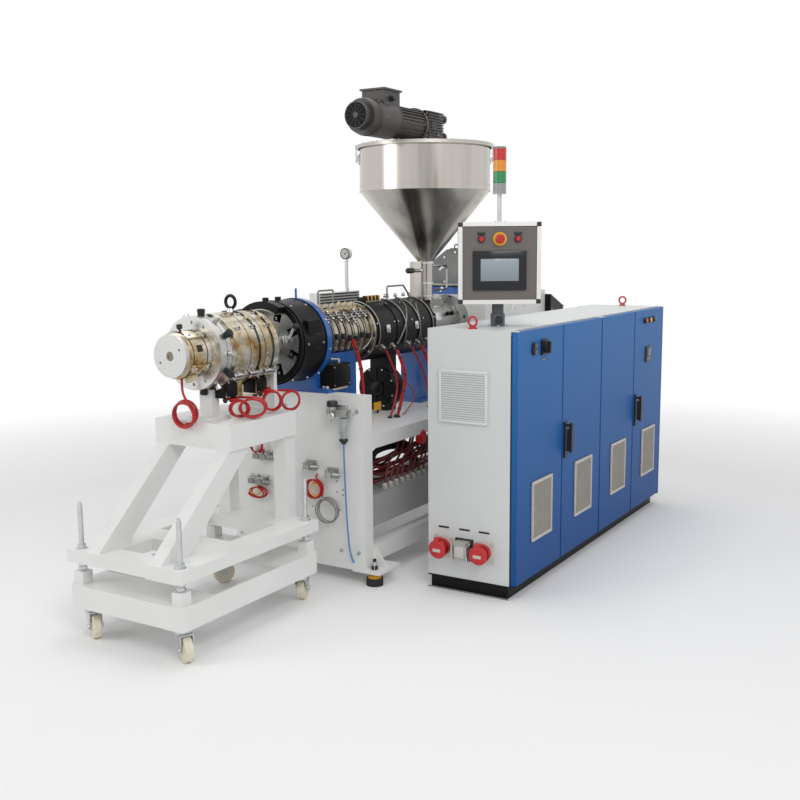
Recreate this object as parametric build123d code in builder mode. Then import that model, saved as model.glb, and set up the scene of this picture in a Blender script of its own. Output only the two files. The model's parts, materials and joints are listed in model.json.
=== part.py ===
"""Plastic extruder: die trolley, barrel line on its base, and the control cabinet beside it.

Millimetres, +Z up, +X along the barrel from the die to the drive, cabinet doors facing -Y.
The origin lies on the floor, in the middle of the whole machine's length and depth.
"""

import os
from math import cos, pi, radians, sin

from build123d import *

os.makedirs("parts", exist_ok=True)

# Driving sizes along the line
trolley_length = 850.0
trolley_gap = 250.0
base_length = 2290.0
guard_length = 210.0

# Driving sizes across the line
base_width = 750.0
foot_reach = 75.0
cabinet_gap = 245.0
cabinet_depth = 400.0
door_gap = 8.0
door_thickness = 24.0
lever_reach = 40.0

# Clearances
running_fit = 0.05
seat_gap = 0.3
cut_overrun = 2.0

# Lines that the pieces share
line_length = trolley_length + trolley_gap + base_length + guard_length
cabinet_reach = cabinet_gap + cabinet_depth + door_gap + door_thickness + lever_reach
line_depth = foot_reach + base_width + cabinet_reach
trolley_front = -line_length / 2
trolley_rear = trolley_front + trolley_length
base_front = trolley_rear + trolley_gap
base_rear = base_front + base_length
base_far = line_depth / 2 - foot_reach
base_near = base_far - base_width
axis_y = base_far - base_width / 2
axis_z = 1105.0
cabinet_back_y = base_near - cabinet_gap
cabinet_front_y = cabinet_back_y - cabinet_depth
door_back_y = cabinet_front_y - door_gap
door_front_y = door_back_y - door_thickness


def slab(x_span, y_span, z_span, mode=Mode.ADD):
    """A straight-sided plate or bar between three pairs of limits."""
    with BuildSketch(Plane.XY.offset(z_span[0])) as outline:
        with Locations(((x_span[0] + x_span[1]) / 2, (y_span[0] + y_span[1]) / 2)):
            Rectangle(x_span[1] - x_span[0], y_span[1] - y_span[0])
    extrude(outline.sketch, amount=z_span[1] - z_span[0], mode=mode)


def rod(plane, radius, length, mode=Mode.ADD):
    """A round bar that starts on a plane and runs along its normal."""
    with BuildSketch(plane) as outline:
        Circle(radius)
    extrude(outline.sketch, amount=length, mode=mode)


def turned_on_axis(points, mode=Mode.ADD):
    """A turned piece about the barrel's axis, from points of (x, radius)."""
    barrel_plane = Plane(origin=(0, axis_y, axis_z), x_dir=(1, 0, 0), z_dir=(0, -1, 0))
    with BuildSketch(barrel_plane) as outline:
        with BuildLine():
            Polyline(*points, close=True)
        make_face()
    revolve(outline.sketch, axis=Axis((0, axis_y, axis_z), (1, 0, 0)), mode=mode)


def wire_ring(centre, ring_radius, wire_radius):
    """A round wire ring that stands across the line."""
    with BuildSketch(Plane(origin=centre, x_dir=(0, 0, 1), z_dir=(0, 1, 0))) as outline:
        with Locations((ring_radius, 0)):
            Circle(wire_radius)
    revolve(outline.sketch, axis=Axis(centre, (1, 0, 0)))


def across(x, y, z):
    """A plane whose normal runs along the barrel, to the drive."""
    return Plane(origin=(x, y, z), x_dir=(0, 1, 0), z_dir=(1, 0, 0))


def outward(x, y, z):
    """A plane whose normal points out of the cabinet's doors."""
    return Plane(origin=(x, y, z), x_dir=(1, 0, 0), z_dir=(0, -1, 0))


def upward(x, y, z):
    """A level plane."""
    return Plane(origin=(x, y, z), x_dir=(1, 0, 0), z_dir=(0, 0, 1))


# Trolley lower frame: a welded tray on casters, with corner posts for the jack screws
caster_height = 120.0
corner_pad_drop = 8.0
lower_frame_height = 92.0
lower_frame_z = caster_height + corner_pad_drop
lower_frame_top = lower_frame_z + lower_frame_height
trolley_width = 600.0
lower_wall = 12.0
front_plate_length = 187.0
rear_plate_length = 250.0
corner_round = 25.0
corner_pad = 110.0
corner_post = 50.0
post_inset = 15.0
post_height = 50.0
trolley_near = axis_y - trolley_width / 2
trolley_far = axis_y + trolley_width / 2
caster_inset = 60.0
kingpin_radius = 8.0
kingpin_length = 14.0

post_half = corner_post / 2
screw_places = [
    (x, y)
    for x in (trolley_front + post_inset + post_half, trolley_rear - post_inset - post_half)
    for y in (trolley_near + post_inset + post_half, trolley_far - post_inset - post_half)
]
caster_places = [
    (x, y)
    for x in (trolley_front + caster_inset, trolley_rear - caster_inset)
    for y in (trolley_near + caster_inset, trolley_far - caster_inset)
]
trolley_middle = (trolley_front + trolley_rear) / 2
lower_open_x = (trolley_front + front_plate_length, trolley_rear - rear_plate_length)

with BuildPart() as trolley_lower_frame:
    with BuildSketch(Plane.XY.offset(lower_frame_z)) as tray_outline:
        with Locations((trolley_middle, axis_y)):
            RectangleRounded(trolley_length, trolley_width, corner_round)
            RectangleRounded(
                trolley_length - 2 * lower_wall,
                trolley_width - 2 * lower_wall,
                corner_round - lower_wall,
                mode=Mode.SUBTRACT,
            )
    extrude(amount=lower_frame_height)
    for plate_x in (
        (trolley_front + lower_wall, lower_open_x[0]),
        (lower_open_x[1], trolley_rear - lower_wall),
    ):
        slab(
            plate_x,
            (trolley_near + lower_wall, trolley_far - lower_wall),
            (lower_frame_top - lower_wall, lower_frame_top),
        )
    for x, y in caster_places:
        inner_x = x + (corner_pad - caster_inset) * (1 if x < trolley_middle else -1)
        outer_x = trolley_front + lower_wall if x < trolley_middle else trolley_rear - lower_wall
        inner_y = y + (corner_pad - caster_inset) * (1 if y < axis_y else -1)
        outer_y = trolley_near + lower_wall if y < axis_y else trolley_far - lower_wall
        slab(
            sorted((inner_x, outer_x)),
            sorted((inner_y, outer_y)),
            (caster_height, lower_frame_z + lower_wall),
        )
        rod(upward(x, y, caster_height - kingpin_length), kingpin_radius, kingpin_length)
    for x, y in screw_places:
        slab(
            (x - post_half, x + post_half),
            (y - post_half, y + post_half),
            (lower_frame_top, lower_frame_top + post_height),
        )
trolley_lower_frame.part.label = "trolley_lower_frame"
export_step(trolley_lower_frame.part, "parts/trolley_lower_frame.step")

# Trolley upper frame: a flat welded frame held on the jack screws
jack_gap = 40.0
upper_frame_z = lower_frame_top + post_height + jack_gap
upper_frame_height = 50.0
upper_frame_top = upper_frame_z + upper_frame_height
front_bar = 105.0
front_window = (170.0, 230.0)
rear_window_start = 400.0
rear_window = (290.0, 380.0)
screw_radius = 10.0
screw_hole_radius = screw_radius + seat_gap

front_window_x = trolley_front + front_bar
rear_window_x = trolley_front + rear_window_start

with BuildPart() as trolley_upper_frame:
    with BuildSketch(Plane.XY.offset(upper_frame_z)):
        with Locations((trolley_middle, axis_y)):
            Rectangle(trolley_length, trolley_width)
        with Locations((front_window_x + front_window[0] / 2, axis_y)):
            Rectangle(*front_window, mode=Mode.SUBTRACT)
        with Locations((rear_window_x + rear_window[0] / 2, axis_y)):
            Rectangle(*rear_window, mode=Mode.SUBTRACT)
        with Locations(*screw_places):
            Circle(screw_hole_radius, mode=Mode.SUBTRACT)
    extrude(amount=upper_frame_height)
trolley_upper_frame.part.label = "trolley_upper_frame"
export_step(trolley_upper_frame.part, "parts/trolley_upper_frame.step")

# Jack screws: threaded rods through the upper frame, with nuts and washers above and below
screw_rise = 175.0
screw_nut_across = 30.0
screw_nut_height = 16.0
washer_radius = 20.0
washer_height = 4.0
screw_tip_height = 12.0
screw_tip_radius = 7.0

with BuildPart() as trolley_jack_screws:
    for x, y in screw_places:
        foot_z = lower_frame_top + post_height
        rod(upward(x, y, foot_z), screw_radius, jack_gap + upper_frame_height + screw_rise)
        rod(
            upward(x, y, upper_frame_top + screw_rise),
            screw_tip_radius,
            screw_tip_height,
        )
        for washer_z in (upper_frame_z - washer_height, upper_frame_top):
            rod(upward(x, y, washer_z), washer_radius, washer_height)
        for nut_z in (
            upper_frame_z - washer_height - screw_nut_height,
            upper_frame_top + washer_height,
        ):
            with BuildSketch(Plane.XY.offset(nut_z)):
                with Locations((x, y)):
                    RegularPolygon(screw_nut_across / 2, 6, major_radius=False)
            extrude(amount=screw_nut_height)
trolley_jack_screws.part.label = "trolley_jack_screws"
export_step(trolley_jack_screws.part, "parts/trolley_jack_screws.step")

# Header box of the trolley, with the post and the cradle plate that carry the die
header_front_set = 410.0
header_rear_set = 15.0
header_width = 406.0
header_height = 105.0
header_top = 830.0
post_foot = (108.0, 130.0, 12.0)
post_foot_set = 55.0
post_section = (45.0, 65.0)
cradle_thickness = 20.0
cradle_half_width = 105.0
cradle_drop = 60.0
flange_radius = 150.0
heater_radius = 155.0
adaptor_flange_radius = 100.0

header_front_x = trolley_front + header_front_set
header_rear_x = trolley_rear - header_rear_set
header_near = axis_y - header_width / 2
header_far = axis_y + header_width / 2
post_foot_x = header_front_x + post_foot_set
cradle_top = axis_z - cradle_drop
post_centre_x = post_foot_x + post_foot[0] / 2
post_top = axis_z - heater_radius - seat_gap

with BuildPart() as trolley_header:
    slab(
        (header_front_x, header_rear_x),
        (header_near, header_far),
        (header_top - header_height, header_top),
    )
    slab(
        (post_foot_x, post_foot_x + post_foot[0]),
        (axis_y - post_foot[1] / 2, axis_y + post_foot[1] / 2),
        (header_top, header_top + post_foot[2]),
    )
    slab(
        (post_centre_x - post_section[0] / 2, post_centre_x + post_section[0] / 2),
        (axis_y - post_section[1] / 2, axis_y + post_section[1] / 2),
        (header_top + post_foot[2], post_top),
    )
    slab(
        (header_rear_x - cradle_thickness, header_rear_x),
        (axis_y - cradle_half_width, axis_y + cradle_half_width),
        (header_top, cradle_top),
    )
    rod(
        across(header_rear_x - cradle_thickness - cut_overrun, axis_y, axis_z),
        adaptor_flange_radius + seat_gap,
        cradle_thickness + 2 * cut_overrun,
        mode=Mode.SUBTRACT,
    )
trolley_header.part.label = "trolley_header"
export_step(trolley_header.part, "parts/trolley_header.step")

# Legs of the header: two raked in front, two upright behind
front_leg_width = 60.0
front_leg_foot_set = 8.0
front_leg_foot_length = 150.0
front_leg_head_length = 130.0
leg_outer_half = 192.0
rear_leg_section = (65.0, 65.0)

front_leg_foot_x = trolley_front + front_leg_foot_set
header_bottom = header_top - header_height

with BuildPart() as trolley_legs:
    for side in (-1, 1):
        leg_y = axis_y + side * (leg_outer_half - front_leg_width / 2)
        with BuildSketch(Plane.XZ.offset(-(leg_y + front_leg_width / 2))):
            with BuildLine():
                Polyline(
                    (front_leg_foot_x, upper_frame_top),
                    (front_leg_foot_x + front_leg_foot_length, upper_frame_top),
                    (header_front_x + front_leg_head_length, header_bottom),
                    (header_front_x, header_bottom),
                    close=True,
                )
            make_face()
        extrude(amount=front_leg_width)
        rear_y = axis_y + side * (leg_outer_half - rear_leg_section[1] / 2)
        slab(
            (header_rear_x - rear_leg_section[0], header_rear_x),
            (rear_y - rear_leg_section[1] / 2, rear_y + rear_leg_section[1] / 2),
            (upper_frame_top, header_bottom),
        )
trolley_legs.part.label = "trolley_legs"
export_step(trolley_legs.part, "parts/trolley_legs.step")

# Swivel casters: pressed forks on kingpins, nylon wheels on axles
wheel_radius = 50.0
wheel_width = 32.0
wheel_hub_radius = 18.0
wheel_hub_width = 38.0
wheel_edge_round = 6.0
caster_trail = 36.0
axle_radius = 6.0
fork_plate = 4.0
fork_side_gap = 3.0
fork_top_gap = 2.0
fork_head_radius = 34.0
fork_head_height = 10.0
fork_back = 20.0
fork_front = 52.0
fork_foot_radius = 14.0
fork_bend = 3.0
axle_head_radius = 9.0
axle_head_height = 5.0
caster_turns = (60.0, 60.0, 200.0, 150.0)

fork_top = caster_height - fork_top_gap
fork_crown_z = fork_top - fork_head_height
fork_inner = wheel_hub_width / 2 + fork_side_gap
fork_outer = fork_inner + fork_plate
axle_z = wheel_radius
axle_plane = Plane(origin=(caster_trail, 0, axle_z), x_dir=(1, 0, 0), z_dir=(0, -1, 0))


def axle_bar(radius, half_length, mode=Mode.ADD):
    """A round bar about the wheel's axle, as far to each side."""
    with BuildSketch(axle_plane) as outline:
        Circle(radius)
    extrude(outline.sketch, amount=half_length, both=True, mode=mode)


for number, (place, turn) in enumerate(zip(caster_places, caster_turns), start=1):
    caster_location = Location((place[0], place[1], 0), (0, 0, turn + 180))
    with BuildPart() as fork:
        with BuildSketch(Plane.XZ) as cheek_outline:
            with BuildLine():
                Polyline(
                    (-fork_back, fork_crown_z),
                    (fork_front, fork_crown_z),
                    (caster_trail + fork_foot_radius, axle_z),
                    (caster_trail - fork_foot_radius, axle_z),
                    close=True,
                )
            make_face()
            with Locations((caster_trail, axle_z)):
                Circle(fork_foot_radius)
        extrude(amount=fork_outer, both=True)
        slab(
            (-fork_back - cut_overrun, fork_front + cut_overrun),
            (-fork_inner, fork_inner),
            (0, fork_crown_z - fork_plate),
            mode=Mode.SUBTRACT,
        )
        fillet(fork.edges().filter_by(Axis.X).group_by(Axis.Z)[-1], radius=fork_bend)
        rod(upward(0, 0, fork_crown_z - fork_plate), fork_head_radius, fork_head_height + fork_plate)
        axle_bar(axle_radius, fork_outer)
        for side in (-1, 1):
            with BuildSketch(axle_plane.offset(side * fork_outer)):
                Circle(axle_head_radius)
            extrude(amount=side * axle_head_height)
        rod(
            upward(0, 0, caster_height - kingpin_length - seat_gap),
            kingpin_radius + running_fit,
            kingpin_length,
            mode=Mode.SUBTRACT,
        )
    placed_fork = fork.part.moved(caster_location)
    placed_fork.label = f"caster_fork_{number}"
    export_step(placed_fork, f"parts/caster_fork_{number}.step")

    with BuildPart() as wheel:
        axle_bar(wheel_radius, wheel_width / 2)
        fillet(wheel.edges().filter_by(GeomType.CIRCLE), radius=wheel_edge_round)
        axle_bar(wheel_hub_radius, wheel_hub_width / 2)
        axle_bar(axle_radius + running_fit, wheel_hub_width / 2 + cut_overrun, mode=Mode.SUBTRACT)
    placed_wheel = wheel.part.moved(caster_location)
    placed_wheel.label = f"caster_wheel_{number}"
    export_step(placed_wheel, f"parts/caster_wheel_{number}.step")

# Machine base: welded end plates, rails, deck and cable trunk on levelling feet beside the ends
end_plate_depth = 70.0
end_plate_z = 65.0
end_plate_top = 868.0
deck_z = 620.0
deck_top = 684.0
rail_height = 80.0
rail_width = 70.0
rail_z = 92.0
trunk_z = 250.0
trunk_top = 395.0
trunk_setback = 20.0
trunk_depth = 260.0
foot_plate_length = 180.0
foot_plate_z = 58.0
foot_plate_thickness = 14.0
gusset_set = 85.0
gusset_thickness = 10.0
gusset_reach = 65.0
gusset_rise = 88.0
foot_radius = 39.0
foot_rubber = 34.0
foot_stem_radius = 12.0
foot_inset = 38.0
foot_outset = 26.0
foot_nut_across = 30.0
foot_nut_height = 14.0
foot_tip_radius = 8.0
foot_tip_rise = 48.0

foot_plate_top = foot_plate_z + foot_plate_thickness
base_ends = ((base_front, 1), (base_rear, -1))
base_sides = ((base_near, -1), (base_far, 1))

with BuildPart() as base_end_plates:
    slab(
        (base_front, base_front + end_plate_depth),
        (base_near, base_far),
        (end_plate_z, end_plate_top),
    )
    slab(
        (base_rear - end_plate_depth, base_rear),
        (base_near, base_far),
        (end_plate_z, deck_z),
    )
    for end_x, inward in base_ends:
        gusset_x = end_x + inward * gusset_set
        for side_y, outwards in base_sides:
            slab(
                sorted((end_x, end_x + inward * foot_plate_length)),
                sorted((side_y + outwards * foot_reach, side_y - outwards * rail_width)),
                (foot_plate_z, foot_plate_top),
            )
            with BuildSketch(across(gusset_x, side_y, foot_plate_top)):
                with BuildLine():
                    Polyline((0, 0), (outwards * gusset_reach, 0), (0, gusset_rise), close=True)
                make_face()
            extrude(amount=inward * gusset_thickness)
base_end_plates.part.label = "base_end_plates"
export_step(base_end_plates.part, "parts/base_end_plates.step")

rail_x = (base_front + end_plate_depth, base_rear - end_plate_depth)
with BuildPart() as base_rails:
    for rail_y in ((base_near, base_near + rail_width), (base_far - rail_width, base_far)):
        slab(rail_x, rail_y, (rail_z, rail_z + rail_height))
base_rails.part.label = "base_rails"
export_step(base_rails.part, "parts/base_rails.step")

with BuildPart() as base_deck:
    slab((base_front + end_plate_depth, base_rear), (base_near, base_far), (deck_z, deck_top))
base_deck.part.label = "base_deck"
export_step(base_deck.part, "parts/base_deck.step")

trunk_near = base_near + trunk_setback
with BuildPart() as cable_trunk:
    slab(rail_x, (trunk_near, trunk_near + trunk_depth), (trunk_z, trunk_top))
cable_trunk.part.label = "cable_trunk"
export_step(cable_trunk.part, "parts/cable_trunk.step")

foot_places = [
    (x, y)
    for x in (base_front + foot_inset, base_rear - foot_inset)
    for y in (base_near - foot_outset, base_far + foot_outset)
]
with BuildPart() as levelling_feet:
    for x, y in foot_places:
        rod(upward(x, y, 0), foot_radius, foot_rubber)
        rod(upward(x, y, foot_rubber), foot_stem_radius, foot_plate_z - foot_rubber)
        with BuildSketch(upward(x, y, foot_plate_top)):
            RegularPolygon(foot_nut_across / 2, 6, major_radius=False)
        extrude(amount=foot_nut_height)
        rod(upward(x, y, foot_plate_top), foot_tip_radius, foot_tip_rise)
levelling_feet.part.label = "levelling_feet"
export_step(levelling_feet.part, "parts/levelling_feet.step")

# Die head: turned discs and flanges bolted up along the barrel's axis
die_reach = 800.0
die_nose_radius = 86.0
die_nose_length = 25.0
die_bore_radius = 14.0
die_bore_depth = 12.0
small_heater_radius = 93.0
small_heater_length = 105.0
flange_length = 30.0
steel_ring_radius = 146.0
steel_ring_length = 56.0
heater_length = 284.0
die_core_radius = 80.0
adaptor_flange_length = 75.0
adaptor_radius = 60.0
clamp_face_length = 131.0
die_bolt_radius = 7.0
die_bolt_circle = 125.0
die_bolt_depth = 10.0
die_bolt_count = 12
ring_bolt_count = 6
ring_bolt_radius = 9.0
ring_bolt_shank = 10.0
ring_bolt_head_radius = 13.0
ring_bolt_head = 16.0

die_front_x = base_front - die_reach
flange_x = die_front_x + die_nose_length + small_heater_length
steel_ring_x = flange_x + flange_length
heater_x = steel_ring_x + steel_ring_length
heater_end_x = heater_x + heater_length
adaptor_flange_end = heater_end_x + adaptor_flange_length
cover_x = heater_end_x + clamp_face_length

with BuildPart() as die_head:
    turned_on_axis(
        [
            (die_front_x, 0),
            (die_front_x, die_nose_radius),
            (die_front_x + die_nose_length, die_nose_radius),
            (die_front_x + die_nose_length, die_core_radius),
            (flange_x, die_core_radius),
            (flange_x, flange_radius),
            (steel_ring_x, flange_radius),
            (steel_ring_x, steel_ring_radius),
            (heater_x, steel_ring_radius),
            (heater_x, die_core_radius),
            (heater_end_x, die_core_radius),
            (heater_end_x, adaptor_flange_radius),
            (adaptor_flange_end, adaptor_flange_radius),
            (adaptor_flange_end, adaptor_radius),
            (cover_x, adaptor_radius),
            (cover_x, 0),
        ]
    )
    rod(across(die_front_x, axis_y, axis_z), die_bore_radius, die_bore_depth, mode=Mode.SUBTRACT)
    with BuildSketch(across(flange_x, axis_y, axis_z)):
        with PolarLocations(die_bolt_circle, die_bolt_count):
            Circle(die_bolt_radius)
    extrude(amount=die_bolt_depth, mode=Mode.SUBTRACT)
    for step in range(ring_bolt_count):
        turn = 2 * pi * (step + 1 / 2) / ring_bolt_count
        bolt_plane = Plane(
            origin=(
                (steel_ring_x + heater_x) / 2,
                axis_y + (steel_ring_radius - cut_overrun) * sin(turn),
                axis_z + (steel_ring_radius - cut_overrun) * cos(turn),
            ),
            z_dir=(0, sin(turn), cos(turn)),
        )
        rod(bolt_plane, ring_bolt_radius, ring_bolt_shank + cut_overrun)
        rod(bolt_plane.offset(ring_bolt_shank), ring_bolt_head_radius, ring_bolt_head)
die_head.part.label = "die_head"
export_step(die_head.part, "parts/die_head.step")

# Heater bands of the die, with their terminal boxes below and the lifting eye on top
heater_bands = 3
heater_groove = 5.0
heater_box = (65.0, 75.0, 80.0)
heater_box_set = 55.0
heater_box_drop = 195.0
heater_box_shares = (0.25, 0.80)
die_eye_set = 154.0
die_eye_rise = 40.0
die_eye_radius = 26.0
die_eye_wire = 7.0
die_eye_stem = 12.0

heater_points = [(heater_x, die_core_radius)]
for band in range(heater_bands):
    band_x = heater_x + band * heater_length / heater_bands
    band_end = band_x + heater_length / heater_bands
    heater_points += [
        (band_x, heater_radius),
        (band_end - heater_groove, heater_radius),
        (band_end - heater_groove, heater_radius - heater_groove),
        (band_end, heater_radius - heater_groove),
    ]
heater_points.append((heater_end_x, die_core_radius))

with BuildPart() as die_heaters:
    turned_on_axis(
        [
            (die_front_x + die_nose_length, die_core_radius),
            (die_front_x + die_nose_length, small_heater_radius),
            (flange_x - seat_gap, small_heater_radius),
            (flange_x - seat_gap, die_core_radius),
        ]
    )
    turned_on_axis(heater_points)
    for share in heater_box_shares:
        box_x = heater_x + share * heater_length
        box_y = axis_y - heater_box_set
        slab(
            (box_x - heater_box[0] / 2, box_x + heater_box[0] / 2),
            (box_y - heater_box[1] / 2, box_y + heater_box[1] / 2),
            (axis_z - heater_box_drop, axis_z - heater_box_drop + heater_box[2]),
        )
    eye_z = axis_z + heater_radius + die_eye_rise
    rod(
        upward(heater_x + die_eye_set, axis_y, axis_z + heater_radius - heater_groove),
        die_eye_stem,
        heater_groove + die_eye_rise - die_eye_radius,
    )
    wire_ring((heater_x + die_eye_set, axis_y, eye_z), die_eye_radius, die_eye_wire)
die_heaters.part.label = "die_heaters"
export_step(die_heaters.part, "parts/die_heaters.step")

# Ring clamp: segments between a hub on the barrel and the black cover, and a steel guard above
cover_radius = 187.0
cover_length = 168.0
cover_wall = 32.0
clamp_segments = 7
clamp_gap = 40.0
clamp_depth = 120.0
clamp_front_set = 20.0
hub_radius = 95.0
ring_plate_radius = 192.0
ring_plate_length = 34.0
visor_reach = 56.0
visor_turn = (-60.0, 30.0)
guard_arc_reach = 86.0
guard_arc_wall = 6.0

ring_plate_x = cover_x + cover_length
clamp_outer = cover_radius - cover_wall
clamp_x = cover_x + clamp_front_set


def ring_part(x, outer, inner, length, turns):
    """Part of a ring about the barrel, between two angles from the top towards the cabinet."""
    reach = 2 * outer
    with BuildSketch(across(x, axis_y, axis_z)) as outline:
        Circle(outer)
        Circle(inner, mode=Mode.SUBTRACT)
        with BuildLine():
            Polyline(
                (0, 0),
                (-reach * sin(radians(turns[0])), reach * cos(radians(turns[0]))),
                (-reach * sin(radians(turns[1])), reach * cos(radians(turns[1]))),
                close=True,
            )
        make_face(mode=Mode.INTERSECT)
    extrude(outline.sketch, amount=length)


with BuildPart() as ring_clamp:
    with BuildSketch(across(clamp_x, axis_y, axis_z)):
        Circle(clamp_outer)
        Circle(hub_radius, mode=Mode.SUBTRACT)
        with PolarLocations((clamp_outer + hub_radius) / 2, clamp_segments):
            Rectangle(clamp_outer, clamp_gap, mode=Mode.SUBTRACT)
    extrude(amount=clamp_depth)
    turned_on_axis(
        [
            (cover_x, 0),
            (cover_x, adaptor_radius),
            (clamp_x, adaptor_radius),
            (clamp_x, hub_radius + cut_overrun),
            (ring_plate_x, hub_radius + cut_overrun),
            (ring_plate_x, 0),
        ]
    )
    ring_part(
        clamp_x - guard_arc_reach,
        clamp_outer,
        clamp_outer - guard_arc_wall,
        guard_arc_reach,
        visor_turn,
    )
ring_clamp.part.label = "ring_clamp"
export_step(ring_clamp.part, "parts/ring_clamp.step")

# Blue stands: the stand under the ring and the barrel, and the column at the barrel's rear
stand_foot_z = end_plate_top
stand_foot_front = 10.0
stand_foot_length = 130.0
stand_foot_width = 360.0
stand_foot_height = 20.0
stand_width = 240.0
stand_length = 330.0
stand_drop = 70.0
barrel_heater_radius = 128.0
barrel_heater_length = 423.0
barrel_flange_radius = 150.0
barrel_flange_length = 14.0
barrel_cover_radius = 148.0
barrel_cover_length = 596.0
column_width = 120.0
column_length = 120.0
column_overlap = 26.0
column_drop = 95.0
column_foot_reach = 22.0
column_foot_height = 20.0
feed_housing_radius = 115.0
ring_stud_radius = 5.0
ring_stud_rise = 42.0
ring_stud_set = 9.0

barrel_x = ring_plate_x + ring_plate_length
barrel_flange_x = barrel_x + barrel_heater_length
barrel_cover_x = barrel_flange_x + barrel_flange_length
barrel_cover_end = barrel_cover_x + barrel_cover_length
column_x = barrel_cover_end - column_overlap
stand_top = stand_foot_z + stand_foot_height

with BuildPart() as blue_stands:
    slab(
        (ring_plate_x, ring_plate_x + stand_length),
        (axis_y - stand_width / 2, axis_y + stand_width / 2),
        (stand_top, axis_z - stand_drop),
    )
    slab(
        (base_front + end_plate_depth, ring_plate_x + stand_length),
        (axis_y - stand_width / 2, axis_y + stand_width / 2),
        (deck_top, stand_top),
    )
    slab(
        (ring_plate_x + stand_foot_front, ring_plate_x + stand_foot_front + stand_foot_length),
        (axis_y - stand_foot_width / 2, axis_y + stand_foot_width / 2),
        (stand_foot_z, stand_top),
    )
    rod(
        across(barrel_x, axis_y, axis_z),
        barrel_heater_radius + seat_gap,
        stand_length,
        mode=Mode.SUBTRACT,
    )
    rod(across(ring_plate_x, axis_y, axis_z), ring_plate_radius, ring_plate_length)
    rod(
        across(ring_plate_x - cut_overrun, axis_y, axis_z),
        hub_radius,
        ring_plate_length + 2 * cut_overrun,
        mode=Mode.SUBTRACT,
    )
    rod(
        upward(barrel_x - ring_stud_set, axis_y, axis_z + ring_plate_radius - cut_overrun),
        ring_stud_radius,
        ring_stud_rise + cut_overrun,
    )
    slab(
        (column_x, column_x + column_length),
        (axis_y - column_width / 2, axis_y + column_width / 2),
        (deck_top, axis_z - column_drop),
    )
    slab(
        (column_x - column_foot_reach, column_x + column_length + column_foot_reach),
        (axis_y - column_width / 2 - column_foot_reach, axis_y + column_width / 2 + column_foot_reach),
        (deck_top, deck_top + column_foot_height),
    )
    rod(
        across(column_x - cut_overrun, axis_y, axis_z),
        barrel_cover_radius + seat_gap,
        column_overlap + cut_overrun + seat_gap,
        mode=Mode.SUBTRACT,
    )
    rod(
        across(column_x, axis_y, axis_z),
        feed_housing_radius,
        column_length + cut_overrun,
        mode=Mode.SUBTRACT,
    )
blue_stands.part.label = "blue_stands"
export_step(blue_stands.part, "parts/blue_stands.step")

# Barrel: banded heaters from the ring plate to the steel flange before the covered zones
barrel_bands = 8
band_step = 8.0

barrel_points = [
    (ring_plate_x, 0),
    (ring_plate_x, hub_radius),
    (barrel_x, hub_radius),
]
for band in range(barrel_bands):
    band_x = barrel_x + band * barrel_heater_length / barrel_bands
    band_end = band_x + barrel_heater_length / barrel_bands
    barrel_points += [
        (band_x, barrel_heater_radius),
        (band_end - band_step, barrel_heater_radius),
        (band_end - band_step, barrel_heater_radius - band_step),
        (band_end, barrel_heater_radius - band_step),
    ]
barrel_points += [
    (barrel_flange_x, barrel_flange_radius),
    (barrel_cover_x, barrel_flange_radius),
    (barrel_cover_x, 0),
]

with BuildPart() as barrel_heaters:
    turned_on_axis(barrel_points)
barrel_heaters.part.label = "barrel_heaters"
export_step(barrel_heaters.part, "parts/barrel_heaters.step")

# Black covers: round the ring clamp, round the barrel, the junction box and the belt guard
cover_chamfer = 10.0
cover_lug = (24.0, 16.0, 15.0)
cover_lug_shares = (-28.0, 60.0)
cover_pad_x = (32.0, 127.0)
cover_pad_y = (-186.0, -150.0)
cover_pad_z = (46.0, 101.0)
cover_groove = 6.0
cover_groove_set = 200.0
junction_box = (147.0, 68.0, 108.0)
guard_half_width = 290.0
guard_bottom = 1085.0
guard_rear_top = 1140.0
guard_front_top = 1222.0

groove_x = barrel_cover_x + cover_groove_set
junction_x = barrel_x + seat_gap
junction_y = axis_y - stand_width / 2 - seat_gap
with BuildPart() as black_covers:
    turned_on_axis(
        [
            (cover_x, clamp_outer + seat_gap),
            (cover_x, cover_radius - cover_chamfer),
            (cover_x + cover_chamfer, cover_radius),
            (ring_plate_x, cover_radius),
            (ring_plate_x, clamp_outer + seat_gap),
        ]
    )
    ring_part(cover_x - visor_reach, cover_radius, clamp_outer + seat_gap, visor_reach, visor_turn)
    for lug_set in cover_lug_shares:
        slab(
            (cover_x + lug_set - cover_lug[0] / 2, cover_x + lug_set + cover_lug[0] / 2),
            (axis_y - cover_lug[1] / 2, axis_y + cover_lug[1] / 2),
            (axis_z + cover_radius - cover_lug[1] / 2, axis_z + cover_radius + cover_lug[2]),
        )
    slab(
        (cover_x + cover_pad_x[0], cover_x + cover_pad_x[1]),
        (axis_y + cover_pad_y[0], axis_y + cover_pad_y[1]),
        (axis_z + cover_pad_z[0], axis_z + cover_pad_z[1]),
    )
    turned_on_axis(
        [
            (barrel_cover_x, 0),
            (barrel_cover_x, barrel_cover_radius),
            (groove_x, barrel_cover_radius),
            (groove_x, barrel_cover_radius - cover_groove),
            (groove_x + cover_groove, barrel_cover_radius - cover_groove),
            (groove_x + cover_groove, barrel_cover_radius),
            (barrel_cover_end, barrel_cover_radius),
            (barrel_cover_end, 0),
        ]
    )
    slab(
        (junction_x, junction_x + junction_box[0]),
        (junction_y - junction_box[1], junction_y),
        (stand_top, stand_top + junction_box[2]),
    )
    with BuildSketch(Plane.XZ.offset(-(axis_y + guard_half_width))):
        with BuildLine():
            Polyline(
                (base_rear, guard_bottom),
                (base_rear + guard_length, guard_bottom),
                (base_rear + guard_length, guard_rear_top),
                (base_rear, guard_front_top),
                close=True,
            )
        make_face()
    extrude(amount=2 * guard_half_width)
black_covers.part.label = "black_covers"
export_step(black_covers.part, "parts/black_covers.step")

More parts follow.
